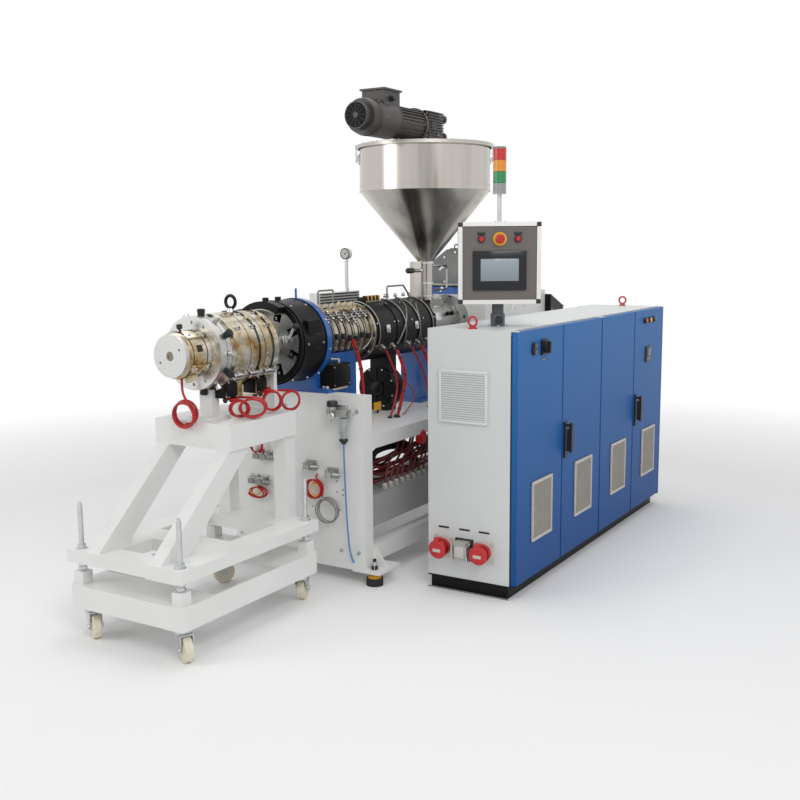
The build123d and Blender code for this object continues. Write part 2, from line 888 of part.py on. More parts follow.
# Feed throat: housing with the bolted disc, then the feed pipe, column, slide and handle
feed_setback = 1210.0
flange_disc_setback = 1350.0
flange_disc_radius = 145.0
flange_disc_length = 100.0
feed_pipe_radius = 42.0
hopper_foot_z = 1444.0
hopper_neck_radius = 44.5
feed_block_half = 70.0
feed_block_top = 1235.0
feed_column_x = (-65.0, -35.0)
feed_column_y = (-10.0, 60.0)
feed_collar_height = 14.0
slide_z = 1395.0
slide_radius = 11.0
slide_reach = 150.0
loop_radius = 6.0
loop_bend = 24.0
loop_reach = 250.0
loop_top = 1415.0
loop_bottom = 1281.0

feed_x = base_front + feed_setback
flange_disc_x = base_front + flange_disc_setback
with BuildPart() as drive_flange:
    turned_on_axis(
        [
            (barrel_cover_end, 0),
            (barrel_cover_end, feed_housing_radius),
            (flange_disc_x, feed_housing_radius),
            (flange_disc_x, flange_disc_radius),
            (flange_disc_x + flange_disc_length, flange_disc_radius),
            (flange_disc_x + flange_disc_length, 0),
        ]
    )
drive_flange.part.label = "drive_flange"
export_step(drive_flange.part, "parts/drive_flange.step")

with BuildPart() as feed_throat:
    slab(
        (feed_x - feed_block_half, feed_x + feed_block_half),
        (axis_y - feed_block_half, axis_y + feed_block_half),
        (axis_z, feed_block_top),
    )
    rod(
        across(feed_x - feed_block_half - cut_overrun, axis_y, axis_z),
        feed_housing_radius,
        2 * (feed_block_half + cut_overrun),
        mode=Mode.SUBTRACT,
    )
    rod(upward(feed_x, axis_y, feed_block_top), feed_pipe_radius, hopper_foot_z - feed_block_top)
    rod(
        upward(feed_x, axis_y, hopper_foot_z - feed_collar_height),
        hopper_neck_radius,
        feed_collar_height,
    )
    slab(
        (feed_x + feed_column_x[0], feed_x + feed_column_x[1]),
        (axis_y + feed_column_y[0], axis_y + feed_column_y[1]),
        (feed_block_top, hopper_foot_z - cut_overrun),
    )
    rod(
        across(feed_x - feed_pipe_radius - slide_reach, axis_y, slide_z),
        slide_radius,
        slide_reach + slide_radius,
    )
    with BuildLine() as loop_line:
        FilletPolyline(
            (feed_x + slide_radius, axis_y, loop_top),
            (feed_x + loop_reach, axis_y, loop_top),
            (feed_x + loop_reach, axis_y, loop_bottom),
            (feed_x + slide_radius, axis_y, loop_bottom),
            radius=loop_bend,
        )
    with BuildSketch(across(feed_x + slide_radius, axis_y, loop_top)):
        Circle(loop_radius)
    sweep(path=loop_line.line)
feed_throat.part.label = "feed_throat"
export_step(feed_throat.part, "parts/feed_throat.step")

# Hopper: a thin shell, cylinder over cone
hopper_radius = 355.0
hopper_wall = 4.0
hopper_cone_top = 1819.0
hopper_top = 2047.0

hopper_plane = Plane(origin=(feed_x, axis_y, 0), x_dir=(1, 0, 0), z_dir=(0, -1, 0))
with BuildPart() as hopper:
    with BuildSketch(hopper_plane) as hopper_profile:
        with BuildLine():
            Polyline(
                (hopper_neck_radius - hopper_wall, hopper_foot_z),
                (hopper_neck_radius, hopper_foot_z),
                (hopper_radius, hopper_cone_top),
                (hopper_radius, hopper_top),
                (hopper_radius - hopper_wall, hopper_top),
                (hopper_radius - hopper_wall, hopper_cone_top + hopper_wall / 2),
                (hopper_neck_radius - hopper_wall, hopper_foot_z + hopper_wall / 2),
                close=True,
            )
        make_face()
    revolve(axis=Axis((feed_x, axis_y, 0), (0, 0, 1)))
hopper.part.label = "hopper"
export_step(hopper.part, "parts/hopper.step")

lid_radius = 372.0
lid_height = 18.0
lid_top = hopper_top + lid_height
with BuildPart() as hopper_lid:
    rod(upward(feed_x, axis_y, hopper_top), lid_radius, lid_height)
hopper_lid.part.label = "hopper_lid"
export_step(hopper_lid.part, "parts/hopper_lid.step")

# Stirrer drive on the lid: worm gearcase, flanged motor with its fan cowl and terminal box
gearcase = (120.0, 120.0, 150.0)
gearcase_foot = 25.0
gearcase_foot_radius = 70.0
gearcase_boss_radius = 45.0
gearcase_boss_reach = 65.0
stirrer_rise = 95.0
stirrer_stations = [
    # distance ahead of the hopper's centre, and radius
    (gearcase[0] / 2, 50.0),
    (110.0, 50.0),
    (110.0, 90.0),
    (130.0, 90.0),
    (130.0, 80.0),
    (373.0, 80.0),
    (373.0, 92.0),
    (590.0, 92.0),
    (630.0, 84.0),
    (630.0, 66.0),
    (672.0, 66.0),
]
terminal_box_x = (365.0, 515.0)
terminal_box_half = 65.0
terminal_box_z = (60.0, 135.0)
terminal_lid = 9.0

stirrer_axis_z = lid_top + stirrer_rise
stirrer_plane = Plane(origin=(feed_x, axis_y, stirrer_axis_z), x_dir=(-1, 0, 0), z_dir=(0, 1, 0))
with BuildPart() as stirrer_drive:
    rod(upward(feed_x, axis_y, lid_top), gearcase_foot_radius, gearcase_foot)
    slab(
        (feed_x - gearcase[0] / 2, feed_x + gearcase[0] / 2),
        (axis_y - gearcase[1] / 2, axis_y + gearcase[1] / 2),
        (lid_top + gearcase_foot, lid_top + gearcase_foot + gearcase[2]),
    )
    rod(across(feed_x, axis_y, stirrer_axis_z), gearcase_boss_radius, gearcase[0] / 2 + gearcase_boss_reach)
    with BuildSketch(stirrer_plane):
        with BuildLine():
            Polyline(
                (stirrer_stations[0][0], 0),
                *stirrer_stations,
                (stirrer_stations[-1][0], 0),
                close=True,
            )
        make_face()
    revolve(axis=Axis((feed_x, axis_y, stirrer_axis_z), (1, 0, 0)))
    slab(
        (feed_x - terminal_box_x[1], feed_x - terminal_box_x[0]),
        (axis_y - terminal_box_half, axis_y + terminal_box_half),
        (stirrer_axis_z + terminal_box_z[0], stirrer_axis_z + terminal_box_z[1]),
    )
    slab(
        (feed_x - terminal_box_x[1] - terminal_lid, feed_x - terminal_box_x[0] + terminal_lid),
        (axis_y - terminal_box_half - terminal_lid, axis_y + terminal_box_half + terminal_lid),
        (stirrer_axis_z + terminal_box_z[1], stirrer_axis_z + terminal_box_z[1] + terminal_lid),
    )
stirrer_drive.part.label = "stirrer_drive"
export_step(stirrer_drive.part, "parts/stirrer_drive.step")

# Gearbox housing, motor base and main motor
gearbox_half_width = 250.0
gearbox_top = 1250.0
motor_base_set = 50.0
motor_base_width = 420.0
motor_base_height = 40.0
motor_set = 70.0
motor_length = 520.0
motor_half_width = 155.0
motor_crown_half = 60.0
motor_shoulder_rise = 150.0
motor_rise = 217.0
motor_eye_set = 5.0
motor_eye_rise = 14.0
motor_eye_radius = 13.0
motor_eye_wire = 4.0

gearbox_x = flange_disc_x + flange_disc_length
motor_foot_x = gearbox_x + motor_base_set
motor_x = motor_foot_x + motor_set
motor_foot_z = gearbox_top + motor_base_height
with BuildPart() as gearbox:
    slab(
        (gearbox_x, base_rear),
        (axis_y - gearbox_half_width, axis_y + gearbox_half_width),
        (deck_top, gearbox_top),
    )
gearbox.part.label = "gearbox"
export_step(gearbox.part, "parts/gearbox.step")

with BuildPart() as motor_base:
    slab(
        (motor_foot_x, base_rear),
        (axis_y - motor_base_width / 2, axis_y + motor_base_width / 2),
        (gearbox_top, motor_foot_z),
    )
motor_base.part.label = "motor_base"
export_step(motor_base.part, "parts/motor_base.step")

with BuildPart() as main_motor:
    with BuildSketch(across(motor_x, axis_y, motor_foot_z)):
        with BuildLine():
            Polyline(
                (-motor_half_width, 0),
                (motor_half_width, 0),
                (motor_half_width, motor_shoulder_rise),
                (motor_crown_half, motor_rise),
                (-motor_crown_half, motor_rise),
                (-motor_half_width, motor_shoulder_rise),
                close=True,
            )
        make_face()
    extrude(amount=motor_length)
    wire_ring(
        (motor_x + motor_eye_set, axis_y, motor_foot_z + motor_rise + motor_eye_rise),
        motor_eye_radius,
        motor_eye_wire,
    )
main_motor.part.label = "main_motor"
export_step(main_motor.part, "parts/main_motor.step")

# Cabinet shell: plinth with floor, walls, back and top, open to the doors
cabinet_offset = 150.0
cabinet_length = 2000.0
plinth_height = 60.0
cabinet_top_z = 1170.0
cabinet_top_height = 20.0
cabinet_wall = 20.0
centre_post = 40.0
plinth_set = 10.0
plinth_wall = 3.0
floor_plate = 2.0
hinge_tab_height = 4.0
hinge_tab_width = 20.0
hinge_pin_radius = 4.0
hinge_pin_length = 20.0
hinge_edge = 9.0
hinge_depth = 4.0
door_tab_gap = 1.0
door_pair_gap = 6.0
door_centre_gap = 8.0

cabinet_x0 = base_front + cabinet_offset
cabinet_x1 = cabinet_x0 + cabinet_length
cabinet_middle = (cabinet_x0 + cabinet_x1) / 2
door_width = (cabinet_length - 2 * door_pair_gap - door_centre_gap) / 4
door_z0 = plinth_height + hinge_tab_height + door_tab_gap
door_z1 = cabinet_top_z - hinge_tab_height - door_tab_gap
hinge_y = door_front_y + hinge_depth
walls_z = (plinth_height, cabinet_top_z - cabinet_top_height)

door_starts = [
    cabinet_x0,
    cabinet_x0 + door_width + door_pair_gap,
    cabinet_middle + door_centre_gap / 2,
    cabinet_x1 - door_width,
]
hinge_sides = (0, 1, 0, 1)
hinge_xs = [
    start + (door_width - hinge_edge if side else hinge_edge)
    for start, side in zip(door_starts, hinge_sides)
]


def hinge_tabs(tab_z, pin_z):
    """Pivot tabs on the cabinet's front edge, one for each door."""
    for hinge_x in hinge_xs:
        slab(
            (hinge_x - hinge_edge, hinge_x + hinge_edge),
            (door_front_y, cabinet_front_y),
            (tab_z, tab_z + hinge_tab_height),
        )
        rod(upward(hinge_x, hinge_y, pin_z), hinge_pin_radius, hinge_pin_length)


with BuildPart() as cabinet_plinth:
    with BuildSketch():
        with Locations((cabinet_middle, (cabinet_front_y + cabinet_back_y) / 2)):
            Rectangle(cabinet_length - 2 * plinth_set, cabinet_depth - 2 * plinth_set)
            Rectangle(
                cabinet_length - 2 * plinth_set - 2 * cabinet_wall,
                cabinet_depth - 2 * plinth_set - 2 * cabinet_wall,
                mode=Mode.SUBTRACT,
            )
    extrude(amount=plinth_height)
    slab(
        (cabinet_x0, cabinet_x1),
        (cabinet_front_y, cabinet_back_y),
        (plinth_height - floor_plate, plinth_height),
    )
    hinge_tabs(plinth_height, plinth_height + hinge_tab_height)
cabinet_plinth.part.label = "cabinet_plinth"
export_step(cabinet_plinth.part, "parts/cabinet_plinth.step")

with BuildPart() as cabinet_walls:
    for wall_x in (
        (cabinet_x0, cabinet_x0 + cabinet_wall),
        (cabinet_middle - centre_post / 2, cabinet_middle + centre_post / 2),
        (cabinet_x1 - cabinet_wall, cabinet_x1),
    ):
        slab(wall_x, (cabinet_front_y, cabinet_back_y - cabinet_wall), walls_z)
cabinet_walls.part.label = "cabinet_walls"
export_step(cabinet_walls.part, "parts/cabinet_walls.step")

with BuildPart() as cabinet_back:
    slab((cabinet_x0, cabinet_x1), (cabinet_back_y - cabinet_wall, cabinet_back_y), walls_z)
cabinet_back.part.label = "cabinet_back"
export_step(cabinet_back.part, "parts/cabinet_back.step")

with BuildPart() as cabinet_top:
    slab(
        (cabinet_x0, cabinet_x1),
        (cabinet_front_y, cabinet_back_y),
        (cabinet_top_z - cabinet_top_height, cabinet_top_z),
    )
    hinge_tabs(cabinet_top_z - hinge_tab_height, cabinet_top_z - hinge_tab_height - hinge_pin_length)
cabinet_top.part.label = "cabinet_top"
export_step(cabinet_top.part, "parts/cabinet_top.step")

# Doors with their filter grilles
vent_width = 240.0
vent_height = 290.0
vent_z = 215.0
vent_shift = 20.0
vent_depth = 10.0
louvre_count = 9
louvre_share = 0.5

for number, (start, hinge_x) in enumerate(zip(door_starts, hinge_xs), start=1):
    vent_x = start + door_width / 2 + vent_shift
    with BuildPart() as door:
        slab((start, start + door_width), (door_front_y, door_back_y), (door_z0, door_z1))
        for louvre in range(louvre_count):
            louvre_z = vent_z + (louvre + (1 - louvre_share) / 2) * vent_height / louvre_count
            slab(
                (vent_x - vent_width / 2, vent_x + vent_width / 2),
                (door_front_y, door_front_y + vent_depth),
                (louvre_z, louvre_z + louvre_share * vent_height / louvre_count),
                mode=Mode.SUBTRACT,
            )
        for bore_z in (door_z0, door_z1 - hinge_pin_length):
            rod(
                upward(hinge_x, hinge_y, bore_z),
                hinge_pin_radius + running_fit,
                hinge_pin_length,
                mode=Mode.SUBTRACT,
            )
    door.part.label = f"door_{number}"
    export_step(door.part, f"parts/door_{number}.step")

# Door fittings: lock plates with swing levers, main switch, meter and push buttons
lock_x = 28.0
lock_z = 540.0
lock_plate = (30.0, 170.0, 9.0)
lever_width = 24.0
lever_length = 140.0
lever_thickness = 14.0
lever_pivot_inset = 16.0
lever_pin_radius = 6.0
switch_offset = (270.0, 1083.0)
switch_plate = (66.0, 66.0, 12.0)
switch_pin_radius = 5.0
knob_radius = 28.0
knob_height = 24.0
knob_grip = (12.0, 50.0)
rocker_offset = (165.0, 1083.0)
rocker_plate = (48.0, 30.0, 8.0)
button_offsets = (160.0, 232.0, 302.0)
button_z = 1108.0
button_radius = 14.0
button_height = 12.0
meter_offset = (225.0, 917.0)
meter_plate = (72.0, 72.0, 6.0)


def front_plate(x, z, size, start=0.0):
    """A plate of (width, height, thickness) on a door's face."""
    with BuildSketch(outward(x, door_front_y - start, z)) as outline:
        Rectangle(size[0], size[1])
    extrude(outline.sketch, amount=size[2])


lever_z = {}
for number in (2, 4):
    start = door_starts[number - 1]
    plate_x = start + lock_x
    plate_z = lock_z + lock_plate[1] / 2
    pivot_z = lock_z + lock_plate[1] - lever_pivot_inset
    lever_z[number] = pivot_z
    with BuildPart() as lock:
        front_plate(plate_x, plate_z, lock_plate)
        rod(
            outward(plate_x, door_front_y - lock_plate[2], pivot_z),
            lever_pin_radius,
            lever_reach - lock_plate[2],
        )
        if number == 4:
            for offset in button_offsets:
                rod(outward(start + offset, door_front_y, button_z), button_radius, button_height)
            front_plate(start + meter_offset[0], meter_offset[1], meter_plate)
    lock.part.label = f"door_{number}_lock"
    export_step(lock.part, f"parts/door_{number}_lock.step")

    lever_start = lever_reach - lever_thickness
    with BuildPart() as lever:
        with BuildSketch(outward(plate_x, door_front_y - lever_start, pivot_z)):
            with Locations((0, -lever_length / 2 + lever_width / 2)):
                SlotOverall(lever_length, lever_width, rotation=90)
            Circle(lever_pin_radius + running_fit, mode=Mode.SUBTRACT)
        extrude(amount=lever_thickness)
    lever.part.label = f"door_{number}_lever"
    export_step(lever.part, f"parts/door_{number}_lever.step")

switch_x = door_starts[0] + switch_offset[0]
with BuildPart() as door_1_controls:
    front_plate(switch_x, switch_offset[1], switch_plate)
    rod(
        outward(switch_x, door_front_y - switch_plate[2], switch_offset[1]),
        switch_pin_radius,
        knob_height / 2,
    )
    front_plate(door_starts[0] + rocker_offset[0], rocker_offset[1], rocker_plate)
door_1_controls.part.label = "door_1_controls"
export_step(door_1_controls.part, "parts/door_1_controls.step")

with BuildPart() as main_switch_knob:
    rod(
        outward(switch_x, door_front_y - switch_plate[2] - seat_gap, switch_offset[1]),
        knob_radius,
        knob_height / 2,
    )
    front_plate(
        switch_x,
        switch_offset[1],
        (*knob_grip, knob_height / 2),
        switch_plate[2] + knob_height / 2,
    )
    rod(
        outward(switch_x, door_front_y - switch_plate[2], switch_offset[1]),
        switch_pin_radius + running_fit,
        knob_height / 2 + seat_gap,
        mode=Mode.SUBTRACT,
    )
main_switch_knob.part.label = "main_switch_knob"
export_step(main_switch_knob.part, "parts/main_switch_knob.step")

# Plug sockets on the cabinet's end and connectors on the base's end plate
side_vent = (225.0, 220.0, 8.0)
side_vent_offset = 221.0
side_vent_z = 878.0
socket_radius = 38.0
socket_reach = 60.0
socket_offsets = (121.0, 321.0)
socket_z = 198.0
connector_y = 217.0
connector_box = (60.0, 80.0, 50.0)

side_vent_y = cabinet_front_y + side_vent_offset


def end_plane(x, y, z):
    """A plane whose normal points back towards the die."""
    return Plane(origin=(x, y, z), x_dir=(0, -1, 0), z_dir=(-1, 0, 0))


with BuildPart() as plug_sockets:
    for offset in socket_offsets:
        rod(end_plane(cabinet_x0, cabinet_front_y + offset, socket_z), socket_radius, socket_reach)
    with BuildSketch(end_plane(cabinet_x0, cabinet_front_y + connector_y, socket_z)):
        Rectangle(connector_box[0], connector_box[1])
    extrude(amount=connector_box[2])
    with BuildSketch(end_plane(cabinet_x0, side_vent_y, side_vent_z)):
        Rectangle(side_vent[0], side_vent[1])
    extrude(amount=side_vent[2])
plug_sockets.part.label = "plug_sockets"
export_step(plug_sockets.part, "parts/plug_sockets.step")

# Lifting eyes on the cabinet's top
eye_inset = 40.0
eye_ring_radius = 20.0
eye_wire_radius = 5.0
eye_collar_radius = 14.0
eye_collar_height = 12.0

cabinet_mid_y = (cabinet_front_y + cabinet_back_y) / 2
with BuildPart() as lifting_eyes:
    for eye_x in (cabinet_x0 + eye_inset, cabinet_x1 - eye_inset):
        rod(upward(eye_x, cabinet_mid_y, cabinet_top_z), eye_collar_radius, eye_collar_height)
        ring_centre = (eye_x, cabinet_mid_y, cabinet_top_z + eye_collar_height + eye_ring_radius)
        wire_ring(ring_centre, eye_ring_radius, eye_wire_radius)
lifting_eyes.part.label = "lifting_eyes"
export_step(lifting_eyes.part, "parts/lifting_eyes.step")

# Operator panel on its swivelling pole
pole_offset = 247.0
pole_inset = 181.0
collar_radius = 32.0
collar_height = 55.0
spigot_radius = 17.0
spigot_rise = 40.0
pole_radius = 26.0
panel_width = 361.0
panel_height = 355.0
panel_depth = 140.0
panel_rise = 101.0
panel_turn = 31.34
frame_bar = 18.0
frame_proud = 6.0

pole_x = cabinet_x0 + pole_offset
pole_y = cabinet_front_y + pole_inset
collar_top = cabinet_top_z + collar_height
panel_z = cabinet_top_z + panel_rise
panel_top = panel_z + panel_height

with BuildPart() as panel_collar:
    rod(upward(pole_x, pole_y, cabinet_top_z), collar_radius, collar_height)
    rod(upward(pole_x, pole_y, collar_top), spigot_radius, spigot_rise)
panel_collar.part.label = "panel_collar"
export_step(panel_collar.part, "parts/panel_collar.step")

with BuildPart() as panel_pole:
    rod(
        upward(pole_x, pole_y, collar_top + seat_gap),
        pole_radius,
        panel_z + frame_proud - collar_top - seat_gap,
    )
    rod(
        upward(pole_x, pole_y, collar_top),
        spigot_radius + running_fit,
        spigot_rise + seat_gap,
        mode=Mode.SUBTRACT,
    )
panel_pole.part.label = "panel_pole"
export_step(panel_pole.part, "parts/panel_pole.step")

panel_out = (-cos(radians(panel_turn)), -sin(radians(panel_turn)), 0)
panel_right = (sin(radians(panel_turn)), -cos(radians(panel_turn)), 0)


def panel_plane(forward, up):
    """A plane in front of the pole, facing the operator."""
    return Plane(
        origin=(pole_x + forward * panel_out[0], pole_y + forward * panel_out[1], panel_z + up),
        x_dir=panel_right,
        z_dir=panel_out,
    )


with BuildPart() as panel_housing:
    with BuildSketch(panel_plane(-panel_depth / 2, panel_height / 2)):
        Rectangle(panel_width - 2 * frame_proud, panel_height - 2 * frame_proud)
    extrude(amount=panel_depth)
panel_housing.part.label = "panel_housing"
export_step(panel_housing.part, "parts/panel_housing.step")

with BuildPart() as panel_frame:
    with BuildSketch(panel_plane(panel_depth / 2, panel_height / 2)):
        Rectangle(panel_width, panel_height)
        Rectangle(panel_width - 2 * frame_bar, panel_height - 2 * frame_bar, mode=Mode.SUBTRACT)
    extrude(amount=frame_proud)
panel_frame.part.label = "panel_frame"
export_step(panel_frame.part, "parts/panel_frame.step")

# Screen, buttons and emergency stop on the panel's face
screen_bezel = (226.0, 163.0, 5.0)
screen_up = 145.0
button_row_up = 282.0
panel_button_radius = 14.0
panel_button_height = 14.0
panel_button_spread = 80.0
stop_ring_radius = 30.0
stop_ring_height = 3.0
stop_head_radius = 20.0
stop_head_height = 28.0

with BuildPart() as panel_controls:
    with BuildSketch(panel_plane(panel_depth / 2, screen_up)):
        Rectangle(screen_bezel[0], screen_bezel[1])
    extrude(amount=screen_bezel[2])
    with BuildSketch(panel_plane(panel_depth / 2, button_row_up)):
        with Locations((-panel_button_spread, 0), (panel_button_spread, 0)):
            Circle(panel_button_radius)
    extrude(amount=panel_button_height)
    rod(panel_plane(panel_depth / 2, button_row_up), stop_ring_radius, stop_ring_height)
    rod(panel_plane(panel_depth / 2, button_row_up), stop_head_radius, stop_head_height)
panel_controls.part.label = "panel_controls"
export_step(panel_controls.part, "parts/panel_controls.step")

# Signal lamp: a stem on the panel's top, then the base and three lenses
lamp_shift = 5.0
lamp_flange_radius = 34.0
lamp_flange_height = 5.0
lamp_stem_radius = 10.0
lamp_stem_height = 122.0
lamp_radius = 29.0
lamp_base_height = 47.0
lamp_lens_height = 49.0
lamp_lens_count = 3
lamp_groove = 2.0
lamp_cap_height = 10.0

with BuildPart() as signal_lamp:
    lamp_x = pole_x + lamp_shift * panel_right[0]
    lamp_y = pole_y + lamp_shift * panel_right[1]
    lamp_z = panel_top - frame_proud
    rod(upward(lamp_x, lamp_y, lamp_z), lamp_flange_radius, lamp_flange_height)
    rod(upward(lamp_x, lamp_y, lamp_z), lamp_stem_radius, lamp_flange_height + lamp_stem_height)
    lamp_z += lamp_flange_height + lamp_stem_height
    rod(upward(lamp_x, lamp_y, lamp_z), lamp_radius, lamp_base_height)
    lamp_z += lamp_base_height
    for lens in range(lamp_lens_count):
        rod(upward(lamp_x, lamp_y, lamp_z), lamp_radius - lamp_groove, lamp_groove)
        rod(upward(lamp_x, lamp_y, lamp_z + lamp_groove), lamp_radius, lamp_lens_height - lamp_groove)
        lamp_z += lamp_lens_height
    rod(upward(lamp_x, lamp_y, lamp_z), lamp_radius - lamp_groove, lamp_cap_height)
signal_lamp.part.label = "signal_lamp"
export_step(signal_lamp.part, "parts/signal_lamp.step")

# Blower that cools the barrel: a drum across the line, its neck up to the black cover, and its foot
blower_radius = 110.0
blower_width = 90.0
blower_set = 230.0
blower_rise = 116.0
blower_hub_radius = 38.0
blower_hub_height = 8.0
duct_x = (10.0, 80.0)
duct_y = (-70.0, 46.0)
blower_foot_half = 60.0

blower_x = barrel_cover_x + blower_set
blower_z = deck_top + blower_rise
with BuildPart() as blower:
    rod(across(blower_x, axis_y, blower_z), blower_radius, blower_width)
    rod(across(blower_x - blower_hub_height, axis_y, blower_z), blower_hub_radius, blower_hub_height)
    slab(
        (blower_x + duct_x[0], blower_x + duct_x[1]),
        (axis_y + duct_y[0], axis_y + duct_y[1]),
        (blower_z, axis_z),
    )
    rod(
        across(blower_x - cut_overrun, axis_y, axis_z),
        barrel_cover_radius + seat_gap,
        blower_width + 2 * cut_overrun,
        mode=Mode.SUBTRACT,
    )
    slab(
        (blower_x, blower_x + blower_width),
        (axis_y - blower_foot_half, axis_y + blower_foot_half),
        (deck_top, blower_z - blower_radius / 2),
    )
blower.part.label = "blower"
export_step(blower.part, "parts/blower.step")

# Cooling tubes: bent steel loops over the barrel, thin tubes down its near side, and their fittings
tube_radius = 4.5
tube_bend = 10.0
tube_top = 1320.0
tube_end_rise = 14.0
tube_loop_sets = [
    # behind the cover's front: the foot, the far end of the level run, and the foot after the slope
    (120.0, 320.0, 420.0),
    (338.0, 501.0, 560.0),
]
heater_loop_sets = (162.0, 287.0)
hug_radius = 4.0
hug_sets = (30.0, 280.0, 420.0, 560.0)
hug_from = 90.0
hug_turn = 118.0
fitting_sets = (70.0, 165.0, 314.0, 411.0, 508.0)
fitting_angle = -28.6
fitting_radius = 8.0
fitting_reach = 26.0

cover_crown_z = axis_z + barrel_cover_radius
heater_loop_x = [barrel_x + loop_set for loop_set in heater_loop_sets]
with BuildPart() as cooling_tubes:
    for loop_sets in tube_loop_sets:
        foot_x, level_x, end_x = [barrel_cover_x + loop_set for loop_set in loop_sets]
        with BuildLine() as loop_line:
            FilletPolyline(
                (foot_x, axis_y, cover_crown_z + seat_gap),
                (foot_x, axis_y, tube_top),
                (level_x, axis_y, tube_top),
                (end_x, axis_y, cover_crown_z + tube_end_rise),
                (end_x, axis_y, cover_crown_z + seat_gap),
                radius=tube_bend,
            )
        with BuildSketch(upward(foot_x, axis_y, cover_crown_z + seat_gap)):
            Circle(tube_radius)
        sweep(path=loop_line.line)
    heater_crown_z = axis_z + barrel_heater_radius + seat_gap
    with BuildLine() as loop_line:
        FilletPolyline(
            (heater_loop_x[0], axis_y, heater_crown_z),
            (heater_loop_x[0], axis_y, tube_top),
            (heater_loop_x[1], axis_y, tube_top),
            (heater_loop_x[1], axis_y, heater_crown_z),
            radius=tube_bend,
        )
    with BuildSketch(upward(heater_loop_x[0], axis_y, heater_crown_z)):
        Circle(tube_radius)
    sweep(path=loop_line.line)
    hug_line_radius = barrel_cover_radius + seat_gap + hug_radius
    for tube_x in [barrel_cover_x + hug_set for hug_set in hug_sets]:
        with BuildLine(across(tube_x, axis_y, axis_z)) as hug_line:
            CenterArc((0, 0), hug_line_radius, start_angle=hug_from, arc_size=hug_turn)
        with BuildSketch(outward(tube_x, axis_y, axis_z + hug_line_radius)):
            Circle(hug_radius)
        sweep(path=hug_line.line)
    for tube_x in [barrel_cover_x + fitting_set for fitting_set in fitting_sets]:
        fitting_dir = (0, -cos(radians(fitting_angle)), sin(radians(fitting_angle)))
        fitting_plane = Plane(
            origin=(
                tube_x,
                axis_y + fitting_dir[1] * (barrel_cover_radius + seat_gap),
                axis_z + fitting_dir[2] * (barrel_cover_radius + seat_gap),
            ),
            z_dir=fitting_dir,
        )
        rod(fitting_plane, fitting_radius, fitting_reach)
cooling_tubes.part.label = "cooling_tubes"
export_step(cooling_tubes.part, "parts/cooling_tubes.step")

# Vent box beyond the barrel, with the pressure gauge on its stem
vent_box_lead = 63.0
vent_box_length = 368.0
vent_box_depth = 55.0
vent_box_z = (1100.0, 1297.0)
gauge_set_back = 273.0
gauge_set = 15.0
gauge_stem_radius = 9.0
gauge_z = 1490.0
gauge_radius = 28.0
gauge_depth = 26.0

vent_box_front = barrel_cover_x - vent_box_lead
vent_box_x = (vent_box_front, vent_box_front + vent_box_length)
vent_box_y = axis_y + barrel_flange_radius + seat_gap
gauge_x = vent_box_front + gauge_set_back
with BuildPart() as barrel_boxes:
    slab(vent_box_x, (vent_box_y, vent_box_y + vent_box_depth), vent_box_z)
    rod(
        upward(gauge_x, vent_box_y + gauge_set, vent_box_z[1]),
        gauge_stem_radius,
        gauge_z - vent_box_z[1],
    )
    rod(across(gauge_x - gauge_depth / 2, vent_box_y + gauge_set, gauge_z), gauge_radius, gauge_depth)
barrel_boxes.part.label = "barrel_boxes"
export_step(barrel_boxes.part, "parts/barrel_boxes.step")

# Red leads from the barrel's fittings down to the deck, fixed at both ends
lead_radius = 5.0
bundle_radius = 9.0
lead_bend = 40.0
barrel_lead_routes = [
    # radius, then points as (x, distance from the axis, height)
    (
        bundle_radius,
        [
            (-421.0, -141.0, 1092.0),
            (-404.0, -160.0, 1000.0),
            (-392.0, -172.0, 900.0),
            (-380.0, -172.0, deck_top),
        ],
    ),
    (
        lead_radius,
        [
            (-160.0, -161.0, 1014.0),
            (-110.0, -172.0, 930.0),
            (-84.0, -182.0, 842.0),
            (-117.0, -186.0, 760.0),
            (-189.0, -196.0, deck_top),
        ],
    ),
    (
        bundle_radius,
        [
            (-65.0, -166.0, 1011.0),
            (-62.0, -200.0, 930.0),
            (-50.0, -204.0, 850.0),
            (-92.0, -206.0, 760.0),
            (-150.0, -212.0, deck_top),
        ],
    ),
    (
        lead_radius,
        [
            (84.0, -161.0, 1014.0),
            (150.0, -172.0, 930.0),
            (192.0, -182.0, 836.0),
            (216.0, -186.0, 760.0),
            (224.0, -186.0, deck_top),
        ],
    ),
    (
        bundle_radius,
        [
            (181.0, -166.0, 1011.0),
            (190.0, -196.0, 930.0),
            (212.0, -214.0, 836.0),
            (240.0, -218.0, 760.0),
            (246.0, -218.0, deck_top),
        ],
    ),
]

with BuildPart() as barrel_leads:
    for radius, route in barrel_lead_routes:
        points = [(x, axis_y + y, z) for x, y, z in route]
        with BuildLine() as lead_line:
            FilletPolyline(*points, radius=lead_bend)
        start = Vector(*points[0])
        with BuildSketch(Plane(origin=start, z_dir=Vector(*points[1]) - start)):
            Circle(radius)
        sweep(path=lead_line.line)
    slab(
        (min(rail_x), max(rail_x)),
        (base_near, base_far),
        (deck_z, deck_top),
        mode=Mode.SUBTRACT,
    )
barrel_leads.part.label = "barrel_leads"
export_step(barrel_leads.part, "parts/barrel_leads.step")

# Lead of the front heater: down from the small band to a coil that hangs before the trolley's header
front_lead_radius = 4.0
front_lead_x = -1420.0
front_lead_y = 18.0
coil_radius = 58.0
coil_z = 865.0
coil_wire = 9.0

